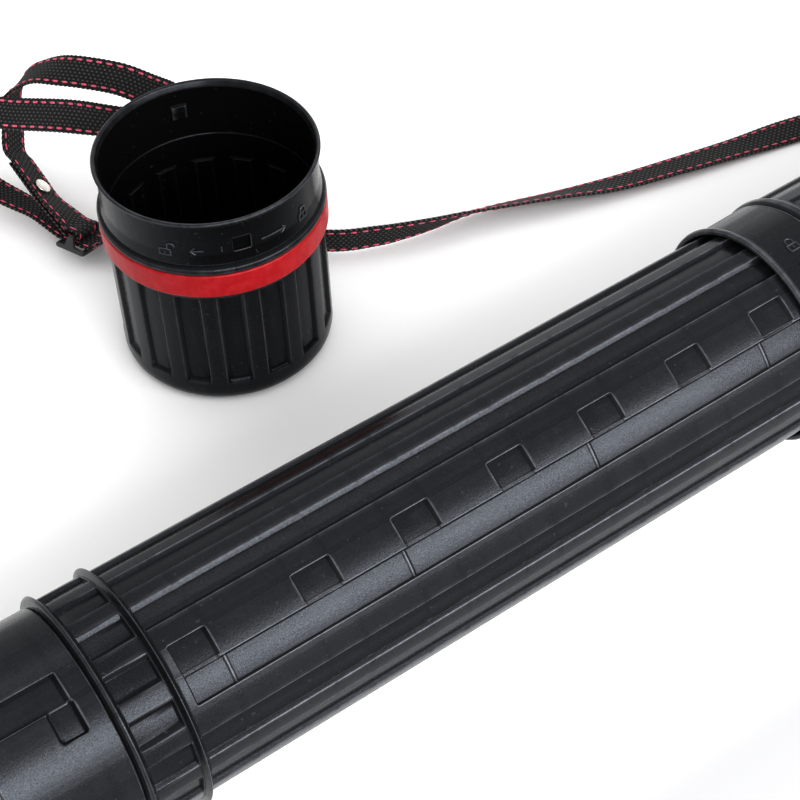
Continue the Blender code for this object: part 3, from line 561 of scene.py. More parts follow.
cuts = []
cuts += wall_lines(42.75, -1, 1.1) + wall_lines(528.0, -1, 1.6) + [24.2, 32.0, 47.0]
for e, d, w in ((0.2, 1, 0.42), (10.6, -1, 1.5), (11.4, -1, 1.5)):
    cuts += wall_lines(e, d, w, 0.15) + [e + d * q for q in (-0.8, 1.0, 2.2)]
for x0 in POCKETS:
    cuts += [x0 - 0.8, x0 - 0.15, x0 + 0.1, x0 + 0.45, x0 + 1.0, x0 + 1.7, x0 + 6.0, x0 + 11.0, x0 + 15.4, x0 + LEN + 0.9] + wall_lines(x0 + LEN, -1, 1.3, 0.15)
cuts += [50.0, 58.0, 63.8, 66.7] + wall_lines(66.0, -1, 1.3, 0.15)
for x in RIBS:
    cuts += [x - 1.2, x - 0.7, x - 0.3, x, x + 0.3, x + 0.7, x + 1.2]
cuts += wall_lines(49.6, 1, 0.6) + wall_lines(522.0, -1, 0.6) + [-20.0, -10.0, 5.0]
INNER_CUTS = thin(cuts, 0.13)


def inner_ref(a):
    return 47.9 if a < 19.5 else (48.6 if a < 44.0 else 48.4)


def inner_cut(a, deg):
    """Depth pressed or cut into the inner tube's wall at along a, for all angles."""
    if a < 19.0:
        cut = np.zeros_like(deg)
        for half in (0.0, 180.0):
            cut = np.maximum(cut, 2.05 * ramp((10.6 - a) / 1.5, 0.15) * patch(a, deg, 73.1 + half, 7.5, -60.0, 10.9, 47.9, 0.42, 0.8))
            cut = np.maximum(cut, 2.35 * ramp((11.4 - a) / 1.5, 0.15) * patch(a, deg, 58.0 + half, 8.0, 0.2, 11.7, 47.9, 0.42, 1.9))
        return cut
    if a < 44.0:
        return flutes(a, deg, 82.5, 21.4, 42.75, 48.6, 1.9, w0=1.2, w1=1.1)
    cut = flutes(a, deg, 82.5, 44.2, 528.0, 48.4, 2.0, w0=1.2, skip=(37.5, 60.0, 217.5, 240.0))
    for half in (0.0, 180.0):
        rib = sum(max(0.0, 1.0 - abs(a - x) / 0.95) for x in RIBS)
        floor_cut = 1.3 - 0.42 * (rib * rib * (3 - 2 * rib) if rib < 1 else 1.0)
        cut = np.maximum(cut, floor_cut * patch(a, deg, 42.75 + half, 7.25, 49.6, 522.0, 48.4, 0.5, 0.8))
        for x0, length in [(p, LEN) for p in POCKETS] + [(49.0, 17.0)]:
            if not x0 - 1.0 < a < x0 + length + 1.0:
                continue
            q = (a - x0) / length
            slope = 0.15 + 0.38 * smooth((a - x0) / 1.2) + 1.07 * np.clip(q, 0, 1)
            lean = 0.82 + 0.38 * np.clip((wrap(deg - half) - 50.8) / 14.2, 0.0, 1.0)
            pocket = slope * lean * ramp((x0 + length - a) / 1.3, 0.15) * patch(a, deg, 57.9 + half, 7.1, x0, x0 + length + 0.3, 48.4, 0.42, 1.3)
            ridge = max(0.0, min(0.75, 0.75 * float(slope) - 0.10)) * patch(a, deg, 50.4 + half, 1.1, x0 + 0.4, x0 + length - 0.9, 48.4, 0.4, 0.3)
            cut = np.maximum(cut, np.maximum(pocket, ridge))
    return cut


def inner_radius(a, r, tag):
    if tag != "o":
        if a < -26.0 and r > 45.4:
            return np.minimum(np.full(len(INNER_COLS), r), 47.9 - inner_cut(a, INNER_COLS))
        return np.full(len(INNER_COLS), r)
    if r > inner_ref(a) + 0.02:
        return np.full(len(INNER_COLS), r)
    cut = inner_cut(a, INNER_COLS)
    return np.where(cut > 1e-9, np.minimum(r, inner_ref(a) - cut), r)


rows = rounded([
    (-26.5, 45.0, 0.0, "b"), (-27.0, 45.5, 0.25, "e"), (-27.0, 47.1, 0.35, "e"), (-26.2, 47.9, 0.5, "o"),
    (19.2, 47.9, 0.35, "o"), (19.8, 47.2, 0.25, "o"), (20.7, 50.9, 0.6, "o"), (22.0, 51.6, 0.5, "o"), (23.6, 48.6, 0.6, "o"),
    (42.9, 48.6, 0.6, "o"), (44.5, 51.6, 0.75, "o"), (46.1, 48.4, 0.6, "o"),
    (539.2, 48.4, 0.4, "o"), (540.0, 47.6, 0.3, "e"), (540.0, 45.5, 0.25, "e"), (539.5, 45.0, 0.2, "b"),
    (340.0, 45.0, 0.0, "b"), (150.0, 45.0, 0.0, "b"), (20.0, 45.0, 0.0, "b"),
])
rows = refine(rows, INNER_CUTS, ("o",))
verts, faces = lathe_grid(rows, INNER_COLS, inner_radius, tube_point, True)
# proud edges are painted pale (rub wear and painted highlight); creases get painted shade
wear_and_highlight, crease_shade = edge_highlight_and_crease_shade(verts, faces, 0.16)
# the rings' beads keep only a third of the painted edge highlight
on_ring = ((verts[:, 0] > 19.6) & (verts[:, 0] < 23.8)) | ((verts[:, 0] > 42.6) & (verts[:, 0] < 46.3))
wear_and_highlight = np.where(on_ring, wear_and_highlight * 0.35, wear_and_highlight)
make("inner_tube_moulding", verts, faces, TUBE_BLACK, "inner_tube",
     {"wear_and_highlight": wear_and_highlight, "matt_and_crease_shade": crease_shade}, instead=("inner_tube",))

# ---------------------------------------------------------------- outer tube
OUTER_COLS = np.array(thin([c % 360.0 for c in flute_columns(82.5, 50.9)], 0.11))
cuts = []
for e, d in ((391.2, 1), (771.3, -1), (797.4, 1), (851.2, -1)):
    cuts += wall_lines(e, d, 1.6) + [e + d * q for q in (-1.0, 0.8, 2.8, 4.0)]
cuts += [450.0, 520.0, 590.0, 660.0, 720.0, 825.0]
OUTER_CUTS = thin(cuts, 0.13)


def outer_radius(a, r, tag):
    if tag != "o":
        return np.full(len(OUTER_COLS), r)
    cut = flutes(a, OUTER_COLS, 82.5, 391.2, 771.3, 50.9, 1.25) + flutes(a, OUTER_COLS, 82.5, 797.4, 851.2, 50.9, 1.25)
    return np.where(cut > 1e-9, np.minimum(r, 50.9 - cut), r)


rows = rounded([
    (862.5, 0.0, 0.0, "e"), (862.5, 30.0, 0.0, "e"), (862.5, 49.1, 1.5, "b"), (700.0, 49.1, 0.0, "b"), (500.0, 49.1, 0.0, "b"), (420.0, 49.1, 0.0, "b"),
    (355.6, 49.1, 0.3, "e"), (355.0, 49.8, 0.3, "e"), (355.0, 51.2, 0.45, "o"), (356.2, 52.05, 0.7, "o"), (357.6, 51.6, 0.6, "o"), (359.2, 50.3, 0.7, "o"),
    (382.6, 50.9, 0.3, "o"), (383.5, 51.05, 0.3, "o"), (384.7, 50.3, 0.3, "o"), (386.2, 51.9, 0.6, "o"), (388.6, 52.2, 0.8, "o"), (390.6, 50.9, 0.6, "o"),
    (778.2, 50.9, 0.4, "o"), (779.6, 51.9, 0.5, "o"), (782.0, 51.8, 0.4, "o"), (782.3, 50.45, 0.1, "o"), (795.5, 50.45, 0.1, "o"), (795.7, 51.3, 0.3, "o"), (797.2, 50.9, 0.3, "o"), (856.0, 50.9, 0.0, "o"),
    (858.7, 50.9, 0.0, "e"), (860.9, 50.5, 0.0, "e"), (862.9, 49.2, 0.0, "e"), (864.3, 47.3, 0.0, "e"), (865.0, 44.6, 0.0, "e"),
    (865.0, 36.0, 0.4, "e"), (864.6, 35.4, 0.3, "e"), (864.6, 5.0, 0.3, "e"), (865.0, 4.4, 0.3, "e"), (865.0, 0.0, 0.0, "e"),
])
rows = refine(rows, OUTER_CUTS, ("o",))
verts, faces = lathe_grid(rows, OUTER_COLS, outer_radius, tube_point, False)
faces = list(faces)
lug_verts = []
for half in (0.0, 180.0):
    first = len(verts) + len(lug_verts)
    angles = [37.75 + half + 10.0 * i / 6 for i in range(7)]
    section = ((380.5, 49.2), (380.5, 48.15), (381.0, 47.92), (393.1, 47.62), (393.5, 48.0), (393.5, 49.2))
    for g in angles:
        lug_verts += [tube_point(g, r, x) for x, r in section]
    m = len(section)
    for i in range(6):
        for k in range(m):
            l = (k + 1) % m
            faces.append((first + i * m + k, first + i * m + l, first + (i + 1) * m + l, first + (i + 1) * m + k))
    for i in (0, 6):
        ring = [first + i * m + k for k in range(m)]
        quads = [(ring[0], ring[1], ring[4], ring[5]), (ring[1], ring[2], ring[3], ring[4])]
        faces += [tuple(reversed(q)) for q in quads] if i == 0 else quads
verts = np.vstack([verts, np.array(lug_verts)])
# proud edges are painted pale (rub wear and painted highlight); creases get painted shade
wear_and_highlight, crease_shade = edge_highlight_and_crease_shade(verts, faces, 0.16)
make("outer_tube_moulding", verts, faces, TUBE_BLACK, "outer_tube",
     {"wear_and_highlight": wear_and_highlight, "matt_and_crease_shade": crease_shade}, instead=("outer_tube",))

# ---------------------------------------------------------------- cap
cols = flute_columns(245.4, 50.8)
for half in (0.0, 180.0):
    cols += [half + c for e, d in ((250.4, 1), (259.8, -1)) for c in wall_lines(e, d, 0.36) + [e - d * 0.8]] + [half + 255.1]
CAP_COLS = np.array(thin([c % 360.0 for c in cols], 0.11))
cuts = []
for e, d, w in ((67.4, -1, 1.8), (12.3, 1, 2.145), (6.0, 1, 1.8)):
    cuts += wall_lines(e, d, w) + [e + d * w * 0.5]
for e, d in ((93.7, 1), (101.1, -1)):
    cuts += wall_lines(e, d, 0.32) + [e - d * 0.8]
cuts += [25.0, 40.0, 55.0, 97.4]
CAP_CUTS = thin(cuts, 0.13)


def cap_radius(a, r, tag):
    n = len(CAP_COLS)
    if tag == "o":
        cut = flutes(a, CAP_COLS, 245.4, 12.3, 67.4, 50.8, 1.8, w0=2.145, w1=1.8)
        out = np.where(cut > 1e-9, np.minimum(r, 50.8 - cut), r)
        for half in (0.0, 180.0):
            out = out - 2.1 * patch(a, CAP_COLS, 255.1 + half, 4.7, 93.7, 101.1, 50.3, 0.32, 0.4)
        return out
    if tag == "i":
        bump = flutes(a, CAP_COLS, 245.4, 6.0, 67.4, 48.4, 0.7, wall=1.8, w0=1.8, w1=1.2)
        for half in (0.0, 180.0):
            bump = np.maximum(bump, 1.7 * patch(a, CAP_COLS, 255.1 + half, 4.7, 93.7, 101.1, 48.6, 0.5, 0.4))
        return r - bump
    return np.full(n, r)


rows = rounded([
    (3.0, 0.0, 0.0, "e"), (3.0, 25.0, 0.0, "e"), (3.0, 45.0, 0.6, "e"), (5.2, 48.4, 1.2, "i"),
    (81.4, 48.4, 0.2, "i"), (82.1, 48.8, 0.2, "i"), (109.4, 48.8, 0.5, "i"), (111.9, 49.9, 0.6, "e"),
    (112.5, 50.9, 0.55, "e"), (111.3, 52.0, 0.65, "e"), (109.2, 50.3, 0.6, "o"),
    (94.6, 50.3, 0.0, "o"), (93.2, 50.35, 0.0, "o"), (88.0, 51.15, 0.4, "o"), (86.9, 50.5, 0.3, "o"), (85.9, 52.3, 0.5, "o"), (84.3, 53.0, 0.8, "o"), (82.9, 52.4, 0.4, "o"),
    (82.7, 50.45, 0.1, "o"), (69.6, 50.45, 0.1, "o"), (69.4, 51.4, 0.3, "o"), (67.8, 50.8, 0.3, "o"), (9.0, 50.8, 0.0, "o"),
    (6.3, 50.8, 0.0, "e"), (3.9, 50.3, 0.0, "e"), (1.85, 48.95, 0.0, "e"), (0.48, 46.9, 0.0, "e"), (0.0, 44.5, 0.0, "e"),
    (0.0, 20.0, 0.0, "e"), (0.0, 0.0, 0.0, "e"),
])
rows = refine(rows, CAP_CUTS, ("o", "i"))
verts, faces = lathe_grid(rows, CAP_COLS, cap_radius, cap_point, False)
turn_of = np.degrees(np.arctan2(verts[:, 1] - CAP_Y, verts[:, 0] - CAP_X))
reach = np.hypot(verts[:, 0] - CAP_X, verts[:, 1] - CAP_Y)
face_out = (area_normals(verts, faces)[:, :2] * (verts[:, :2] - np.array([CAP_X, CAP_Y]))).sum(1)
# the window recess gets the full crease value: painted shade that darkens it, on a rougher matt floor
pocket = np.zeros(len(verts))
for half in (0.0, 180.0):
    s = np.radians(wrap(turn_of - 255.1 - half)) * 50.3
    pocket = np.maximum(pocket, (box_d(verts[:, 2], s, 93.7, 101.1, -4.13, 4.13, 0.4) < -0.05) * (reach > 47.9) * (reach < 50.2) * (face_out > 0))
# proud edges painted pale (rub wear and painted highlight), none inside the window recess; creases get painted shade
wear_and_highlight, crease_shade = edge_highlight_and_crease_shade(verts, faces, 0.16)
make("cap_moulding", verts, faces, CAP_BLACK_SHADED, "cap",
     {"wear_and_highlight": wear_and_highlight * (1.0 - pocket), "matt_and_crease_shade": np.maximum(pocket, crease_shade * 0.7)}, instead=("cap_shell",))


# ---------------------------------------------------------------- raised marks: arrows and padlocks
def stroke(points, width):
    """Outline of a thick open line."""
    p = np.array(points, float)
    left, rightside = [], []
    for i in range(len(p)):
        d = p[min(i + 1, len(p) - 1)] - p[max(i - 1, 0)]
        d = d / np.linalg.norm(d)
        n = np.array([-d[1], d[0]]) * width / 2
        left.append(tuple(p[i] + n))
        rightside.append(tuple(p[i] - n))
    return left, rightside


def mark(strokes, point, radius, centre, along, height):
    """Raised bars on a round wall. strokes are (points, width) in mm: x round the wall, y along it."""
    verts, faces = [], []
    for points, width in strokes:
        fine = []
        for a, b in zip(points, points[1:]):
            steps = max(1, int(math.dist(a, b) / 0.8))
            fine += [(a[0] + (b[0] - a[0]) * i / steps, a[1] + (b[1] - a[1]) * i / steps) for i in range(steps)]
        fine.append(points[-1])
        left, rightside = stroke(fine, width)
        inner_l, inner_r = stroke(fine, width * 0.45)
        first = len(verts)
        for l, il, ir, r in zip(left, inner_l, inner_r, rightside):
            for (u, v), h in ((l, -0.25), (l, height * 0.55), (il, height), (ir, height), (r, height * 0.55), (r, -0.25)):
                verts.append(point(centre + math.degrees(u / radius), radius + h, along + v))
        n = len(fine)
        for i in range(n - 1):
            for k in range(5):
                faces.append((first + 6 * i + k, first + 6 * i + k + 1, first + 6 * i + 7 + k, first + 6 * i + 6 + k))
        faces.append(tuple(first + k for k in (3, 2, 1, 0)))
        faces.append(tuple(first + k for k in (5, 4, 3, 0)))
        last = first + 6 * (n - 1)
        faces.append(tuple(last + k for k in (0, 1, 2, 3)))
        faces.append(tuple(last + k for k in (0, 3, 4, 5)))
    return np.array(verts), faces


def padlock(shift, closed):
    body = [((-2.6 + shift, -3.0), (2.6 + shift, -3.0), (2.6 + shift, 0.3), (-2.6 + shift, 0.3), (-2.6 + shift, -3.4))]
    bow = [(-1.7, 0.3), (-1.7, 1.9)] + [(1.7 * math.cos(math.radians(180 - 20 * i)), 1.9 + 1.7 * math.sin(math.radians(20 * i))) for i in range(1, 9)] + [(1.7, 1.9)]
    if closed:
        bow.append((1.7, 0.3))
        bow = [(x + shift, y) for x, y in bow]
    else:
        bow = [(x + shift + 3.0, y + 0.3) for x, y in bow]
    hole = [(shift, -0.9), (shift, -2.0)]
    return [(body[0], 0.85), (bow, 0.8), (hole, 0.9)]


def arrow(x0, x1, y):
    d = 1.0 if x1 > x0 else -1.0
    return [([(x0, y), (x1, y)], 0.75), ([(x1 - d * 2.2, y + 2.0), (x1, y), (x1 - d * 2.2, y - 2.0)], 0.75)]


cap_marks = []
RAD = 50.4
for strokes, psi, z in ((padlock(0.0, False), 215.5, 95.6), (arrow(2.6, -3.4, 0.0), 232.5, 96.0), ([([(0, -1.6), (0, 1.6)], 0.7)], 244.6, 96.6),
                        (arrow(-6.4, 6.6, 0.0), 272.6, 96.0), (padlock(0.0, True), 293.5, 95.6)):
    cap_marks.append(mark(strokes, cap_point, RAD, psi, z, 0.50))


def joined(parts):
    verts, faces = [], []
    count = 0
    for v, f in parts:
        verts.append(v)
        faces += [tuple(i + count for i in q) for q in f]
        count += len(v)
    return np.vstack(verts), faces


verts, faces = joined(cap_marks)
faces = [tuple(reversed(f)) for f in faces]
# the marks carry half the edge wear-and-highlight value all over, so they are painted paler
make("cap_marks", verts, faces, MARK_BLACK, "cap", {"wear_and_highlight": np.full(len(verts), 0.5)}, soft=False)
neck_marks = []
for strokes, theta, x in ((padlock(0.0, True), 84.0, 370.5), (arrow(-4.2, 3.4, 0.0), 73.0, 371.0)):
    neck_marks.append(mark([([(p[1], p[0]) for p in pts], w) for pts, w in strokes], tube_point, 50.62, theta, x, 0.50))
verts, faces = joined(neck_marks)
# these marks are painted paler all over with half the edge wear-and-highlight value
make("neck_marks", verts, faces, MARK_BLACK, "outer_tube", {"wear_and_highlight": np.full(len(verts), 0.5)}, soft=False)


# ---------------------------------------------------------------- swivel rings with their strap eyes
EYE_HALF, EYE_ARM, POST_R, POST_AT = 10.6, 2.0, 1.3, 5.8
CAP_RING_R, BASE_RING_R = 52.9, 52.2


def bar_mesh(path, section):
    """Closed bar: section (list of (a, b)) carried along frames (origin, A, B)."""
    verts, faces = [], []
    m = len(section)
    for o, ea, eb in path:
        verts += [tuple(np.array(o) + np.array(ea) * a + np.array(eb) * b) for a, b in section]
    for i in range(len(path) - 1):
        for k in range(m):
            l = (k + 1) % m
            faces.append((i * m + k, i * m + l, (i + 1) * m + l, (i + 1) * m + k))
    for base, rev in ((0, True), ((len(path) - 1) * m, False)):
        centre = len(verts)
        verts.append(tuple(np.mean(verts[base:base + m], axis=0)))
        for k in range(m):
            l = (k + 1) % m
            faces.append((base + l, base + k, centre) if rev else (base + k, base + l, centre))
    return np.array(verts), faces


def round_rect(w, h, r, steps=3):
    out = []
    for cx, cy, a in ((w - r, h - r, 0), (-w + r, h - r, 90), (-w + r, -h + r, 180), (w - r, -h + r, 270)):
        for i in range(steps + 1):
            t = math.radians(a + 90.0 * i / steps)
            out.append((cx + r * math.cos(t), cy + r * math.sin(t)))
    return out


def soft_ends(p0, p1, ea, eb, section, inset=0.35):
    """Straight bar from p0 to p1 whose ends are rounded over."""
    p0, p1, ea, eb = (np.array(q, float) for q in (p0, p1, ea, eb))
    d = (p1 - p0) / np.linalg.norm(p1 - p0)
    length = np.linalg.norm(p1 - p0)
    sa, sb = max(abs(a) for a, _ in section), max(abs(b) for _, b in section)
    path = []
    stops = [(0.0, 1.0), (inset * 0.3, 0.5), (inset, 0.0), (length - inset, 0.0), (length - inset * 0.3, 0.5), (length, 1.0)]
    for s, q in stops:
        path.append((p0 + d * s, ea * (1 - inset * q / sa), eb * (1 - inset * q / sb)))
    if np.dot(np.cross(ea, eb), d) < 0:
        section = list(reversed(section))
    return bar_mesh(path, section)


def swivel_ring(name, node, point, s0, s1, r_out, eye):
    cols_ = np.array([eye + 360.0 * i / 128 for i in range(128)])
    inward = point is cap_point
    pts = [(s0 + 0.3, 50.85, 0.0, "e"), (s0, 51.15, 0.2, "e"), (s0, r_out - 0.5, 0.4, "e"), (s0 + 0.75, r_out, 0.6, "e"),
           (s1 - 0.75, r_out, 0.6, "e"), (s1, r_out - 0.5, 0.4, "e"), (s1, 51.15, 0.2, "e"), (s1 - 0.3, 50.85, 0.0, "e")]
    rws = rounded(pts)
    v, f = lathe_grid(rws, cols_, lambda a, r, t: np.full(128, r), point, True)
    if inward or point is base_point:
        f = [tuple(reversed(q)) for q in f]
    parts = [(v, f)]
    mid = (s0 + s1) / 2.0
    o0 = np.array(point(eye, r_out, 0.0))
    out = np.array(point(eye, r_out + 1.0, 0.0)) - o0
    ax = np.array(point(eye, r_out, 1.0)) - o0
    side = np.cross(ax, out)

    def at(h, a, s=0.0):
        return o0 + out * h + ax * a + side * s
    # foot, plate, two arms with rounded ends, and the round post
    parts.append(soft_ends(at(0.1, s0 + 0.9), at(0.1, s1 - 0.9), out, side, round_rect(0.9, 4.1, 0.35)))
    parts.append(soft_ends(at(0.85, mid - EYE_HALF), at(0.85, mid + EYE_HALF), out, side, round_rect(0.5, 4.2, 0.3)))
    for sgn in (-1.0, 1.0):
        parts.append(soft_ends(at(0.6, mid + sgn * (EYE_HALF - EYE_ARM / 2)), at(POST_AT + POST_R + 0.4, mid + sgn * (EYE_HALF - EYE_ARM / 2)),
                               ax, side, round_rect(EYE_ARM / 2, 4.1, 0.6), 0.6))
    circle = [(POST_R * math.cos(math.radians(20 * i)), POST_R * math.sin(math.radians(20 * i))) for i in range(18)]
    parts.append(soft_ends(at(POST_AT, mid - EYE_HALF + 0.4), at(POST_AT, mid + EYE_HALF - 0.4), out, side, circle, 0.2))
    v, f = joined(parts)
    # proud edges of the ring and eye are painted paler: rub wear and painted highlight
    return make(name, v, f, RED, "strap_set", {"wear_and_highlight": edge_highlight_and_crease_shade(v, f, 0.16)[0]}, instead=(node,))


swivel_ring("cap_swivel_ring", "cap_ring", cap_point, 69.9, 82.5, CAP_RING_R, 48.0)
swivel_ring("base_swivel_ring", "base_ring", base_point, 782.6, 795.2, BASE_RING_R, 50.0)

# ---------------------------------------------------------------- strap route
WEB_W, WEB_T, GAP = 16.0, 1.5, 0.3
WRAP_R = POST_R + GAP + WEB_T / 2 + 0.1
FOLD = 1.05


def unit(v):
    v = np.asarray(v, float)
    return v / np.linalg.norm(v)


def tilt(direction, degrees):
    d = unit(direction)
    side = unit(np.cross(d, (0, 0, 1)))
    up = np.cross(side, d)
    return up * math.cos(math.radians(degrees)) + side * math.sin(math.radians(degrees))


def half_turn(centre, start, over, steps=12):
    return [centre + start * math.cos(math.pi * i / steps) + over * math.sin(math.pi * i / steps) for i in range(steps + 1)]


def spline(points, per_span):
    out = []
    n = len(points)
    for i in range(n - 1):
        quad = [points[max(i - 1, 0)], points[i], points[i + 1], points[min(i + 2, n - 1)]]
        for k in range(per_span):
            t = k / per_span
            both = []
            for c in (0, 1):
                a, b, d, e = (np.asarray(p[c], float) for p in quad)
                both.append(0.5 * (2 * b + (d - a) * t + (2 * a - 5 * b + 4 * d - e) * t * t + (3 * b - a - 3 * d + e) * t ** 3))
            out.append(tuple(both))
    out.append((np.asarray(points[-1][0], float), np.asarray(points[-1][1], float)))
    return out


b_out = np.array([0.0, math.cos(math.radians(50)), math.sin(math.radians(50))])
b_down = np.array([0.0, math.sin(math.radians(50)), -math.cos(math.radians(50))])
b_post = np.array([788.9, 0.0, AXIS_Z]) + b_out * (BASE_RING_R + POST_AT)
ACROSS_B = np.array([-1.0, 0.0, 0.0])


def layer(s):
    q = min(max((s - 4.0) / 18.0, 0.0), 1.0)
    q = q * q * (3 - 2 * q)
    return WRAP_R + (FOLD - WRAP_R) * q


base_path = [(b_post + b_down * s - b_out * layer(s), ACROSS_B) for s in (38, 34, 30, 26, 22, 18, 14, 10.5, 7, 4)]
base_path += [(q, ACROSS_B) for q in half_turn(b_post, -b_out * WRAP_R, -b_down * WRAP_R)]
base_path += [(b_post + b_down * s + b_out * layer(s), ACROSS_B) for s in (4, 7, 10.5, 14, 18, 22, 26, 30, 35)]
RUN = [
    (b_post + b_down * 40.0 + b_out * FOLD, ACROSS_B),
    ((784, 88, 58), tilt((-0.35, 0.75, -0.6), -66)),
    ((768, 103, 40), tilt((-0.75, 0.5, -0.5), -35)),
    ((742, 109, 26), tilt((-0.9, 0.15, -0.4), -28)),
    ((705, 108, 13.5), tilt((-0.97, 0, -0.2), -48)),
    ((662, 109, 5.5), tilt((-0.98, 0.08, -0.1), -76)),
    ((612, 115, 1.9), tilt((-0.98, 0.16, 0), -88)),
    ((560, 124.5, 1.6), tilt((-0.98, 0.2, 0), -92)),
    ((515.6, 134.2, 2.3), tilt((-0.98, 0.22, 0), -98)),
    ((484.8, 141.3, 1.9), tilt((-0.97, 0.23, 0), -86)),
    ((449.2, 149.0, 2.7), tilt((-0.97, 0.24, 0), -80)),
    ((415.1, 157.5, 3.0), tilt((-0.95, 0.31, 0), -75)),
    ((383.0, 167.4, 5.1), tilt((-0.93, 0.33, 0), -60)),
    ((351.9, 178.2, 6.3), tilt((-0.95, 0.31, 0), -52)),
    ((336.5, 182.6, 6.9), tilt((-0.96, 0.27, 0), -43)),
    ((319.8, 185.7, 7.7), tilt((-0.96, 0.27, 0), -29)),
    ((304.6, 189.8, 8.3), tilt((-0.94, 0.33, 0), -19)),
    ((289.9, 195.3, 8.6), tilt((-0.91, 0.42, 0), -11)),
    ((269.7, 206.3, 8.8), tilt((-0.86, 0.51, 0), -7)),
    ((240.0, 235.0, 8.8), tilt((-0.72, 0.69, 0), -4)),
    ((213.0, 260.5, 8.8), tilt((-0.76, 0.65, 0), -6)),
    ((191.5, 271.0, 9.5), tilt((-0.93, 0.36, 0), -14)),
    ((183.5, 273.0, 11.0), tilt((-0.8, 0.6, 0), -42)),
]
S0 = np.array([171.4, 287.2, 7.3])
E1 = unit((-0.42, 0.905, 0.06))
E2 = tilt(E1, -74)
E3 = np.cross(E1, E2)
if E3[2] < 0:
    E3 = -E3


def local(a, b, c):
    return S0 + E1 * a + E2 * b + E3 * c


RUN += [
    (local(-11.0, 0, 1.2), E2 + E3 * 0.15), (local(-9.0, 0, 0.3), E2), (local(0, 0, 0), E2), (local(9.0, 0, 0), E2),
    ((163.6, 315.5, 8.4), (-0.90, -0.31, 0.32)), ((157.6, 330.5, 9.8), (-0.91, -0.34, 0.22)),
    ((149.0, 348.0, 14.0), (-0.90, -0.42, 0.05)), ((142.0, 361.0, 26.0), (-0.86, -0.48, -0.15)),
    ((142.5, 365.0, 41.0), (-0.80, -0.50, -0.35)), ((149.5, 358.0, 53.0), (-0.74, -0.45, -0.50)),
    ((158.5, 343.5, 59.5), (-0.70, -0.38, -0.60)), ((165.5, 330.3, 63.0), -tilt((-0.41, 0.86, -0.31), 48)),
    ((180.7, 302.1, 72.0), -tilt((-0.52, 0.83, -0.21), 42)), ((194.6, 280.0, 76.0), -tilt((-0.50, 0.86, -0.10), 18)),
    ((210.5, 262.5, 76.2), -tilt((-0.68, 0.73, 0), 6)),
]
c_out = np.array([math.cos(math.radians(48)), math.sin(math.radians(48)), 0.0])
c_left = np.array([-c_out[1], c_out[0], 0.0])
c_post = np.array([CAP_X, CAP_Y, 76.2]) + c_out * (CAP_RING_R + POST_AT)
DOWN = np.array([0.0, 0.0, -1.0])
lug_turn = [(q, DOWN) for q in half_turn(c_post, -c_out * WRAP_R, -c_left * WRAP_R)]
RUN_IN = RUN + [(c_post + c_left * 14.0 - c_out * (WRAP_R + 0.3), DOWN), (c_post + c_left * 5.0 - c_out * WRAP_R, DOWN)]
e_dir = unit((-0.03, 0.94, 0.34))
rivet_at = np.array([168.9, 322.7, 18.1])
e_w = np.array([-0.76, -0.20, 0.57])
e_w = unit(e_w - e_dir * np.dot(e_w, e_dir))
e_n = np.cross(e_dir, e_w)
if e_n[2] < 0:
    e_n = -e_n
END_TOP = rivet_at + e_dir * 20.0
RUN_OUT = [
    (c_post + c_left * 5.0 + c_out * WRAP_R, DOWN),
    (c_post + c_left * 14.0 + c_out * (WRAP_R + 2.5), -tilt((-0.55, 0.83, 0), 6)),
    ((230.5, 272.0, 74.5), -tilt((-0.30, 0.95, 0), 20)), ((224.5, 293.0, 72.0), -tilt((-0.45, 0.88, 0), 48)),
    ((217.3, 308.6, 72.8), -tilt((-0.54, 0.83, 0.02), 52)), ((208.5, 322.2, 72.4), -tilt((-0.53, 0.84, -0.12), 50)),
    ((199.6, 336.7, 70.0), -tilt((-0.47, 0.85, -0.22), 54)), ((192.6, 351.5, 64.0), -tilt((-0.42, 0.81, -0.40), 76)),
    ((186.6, 361.0, 56.5), (-0.78, -0.55, -0.10)), ((179.5, 364.5, 46.0), (-0.80, -0.40, 0.30)),
    ((174.5, 358.0, 36.0), (-0.78, -0.30, 0.48)), (END_TOP + e_dir * 7.0, e_w), (END_TOP - e_dir * 0.6, e_w),
]
MAIN = base_path + spline(RUN_IN, 10) + lug_turn + spline(RUN_OUT, 10)
END_R = 2.25
bar = local(0, 0, 4.35)
top_mid = (bar + E3 * END_R + E1 * 4.0) * 0.58 + (rivet_at - e_dir * 6.5) * 0.42
tail_mid = (bar - E3 * END_R + E1 * 4.0) * 0.58 + (rivet_at - e_dir * 6.5 - e_n * 2.1) * 0.42
top_line = spline([(bar + E3 * END_R + E1 * 4.0, E2), (top_mid, (E2 + e_w) / 2), (rivet_at - e_dir * 6.5, e_w),
                   (rivet_at + e_dir * 6.5, e_w), (END_TOP, e_w)], 10)
tail_line = spline([(bar - E3 * END_R + E1 * 4.0, E2), (tail_mid, (E2 + e_w) / 2), (rivet_at - e_dir * 6.5 - e_n * 2.1, e_w),
                    (rivet_at + e_dir * 6.5 - e_n * 2.1, e_w), (rivet_at + e_dir * 19.0 - e_n * 2.1, e_w)], 10)
TAIL = list(reversed(tail_line)) + [(q, E2) for q in half_turn(bar, -E3 * END_R, -E1 * END_R)] + top_line


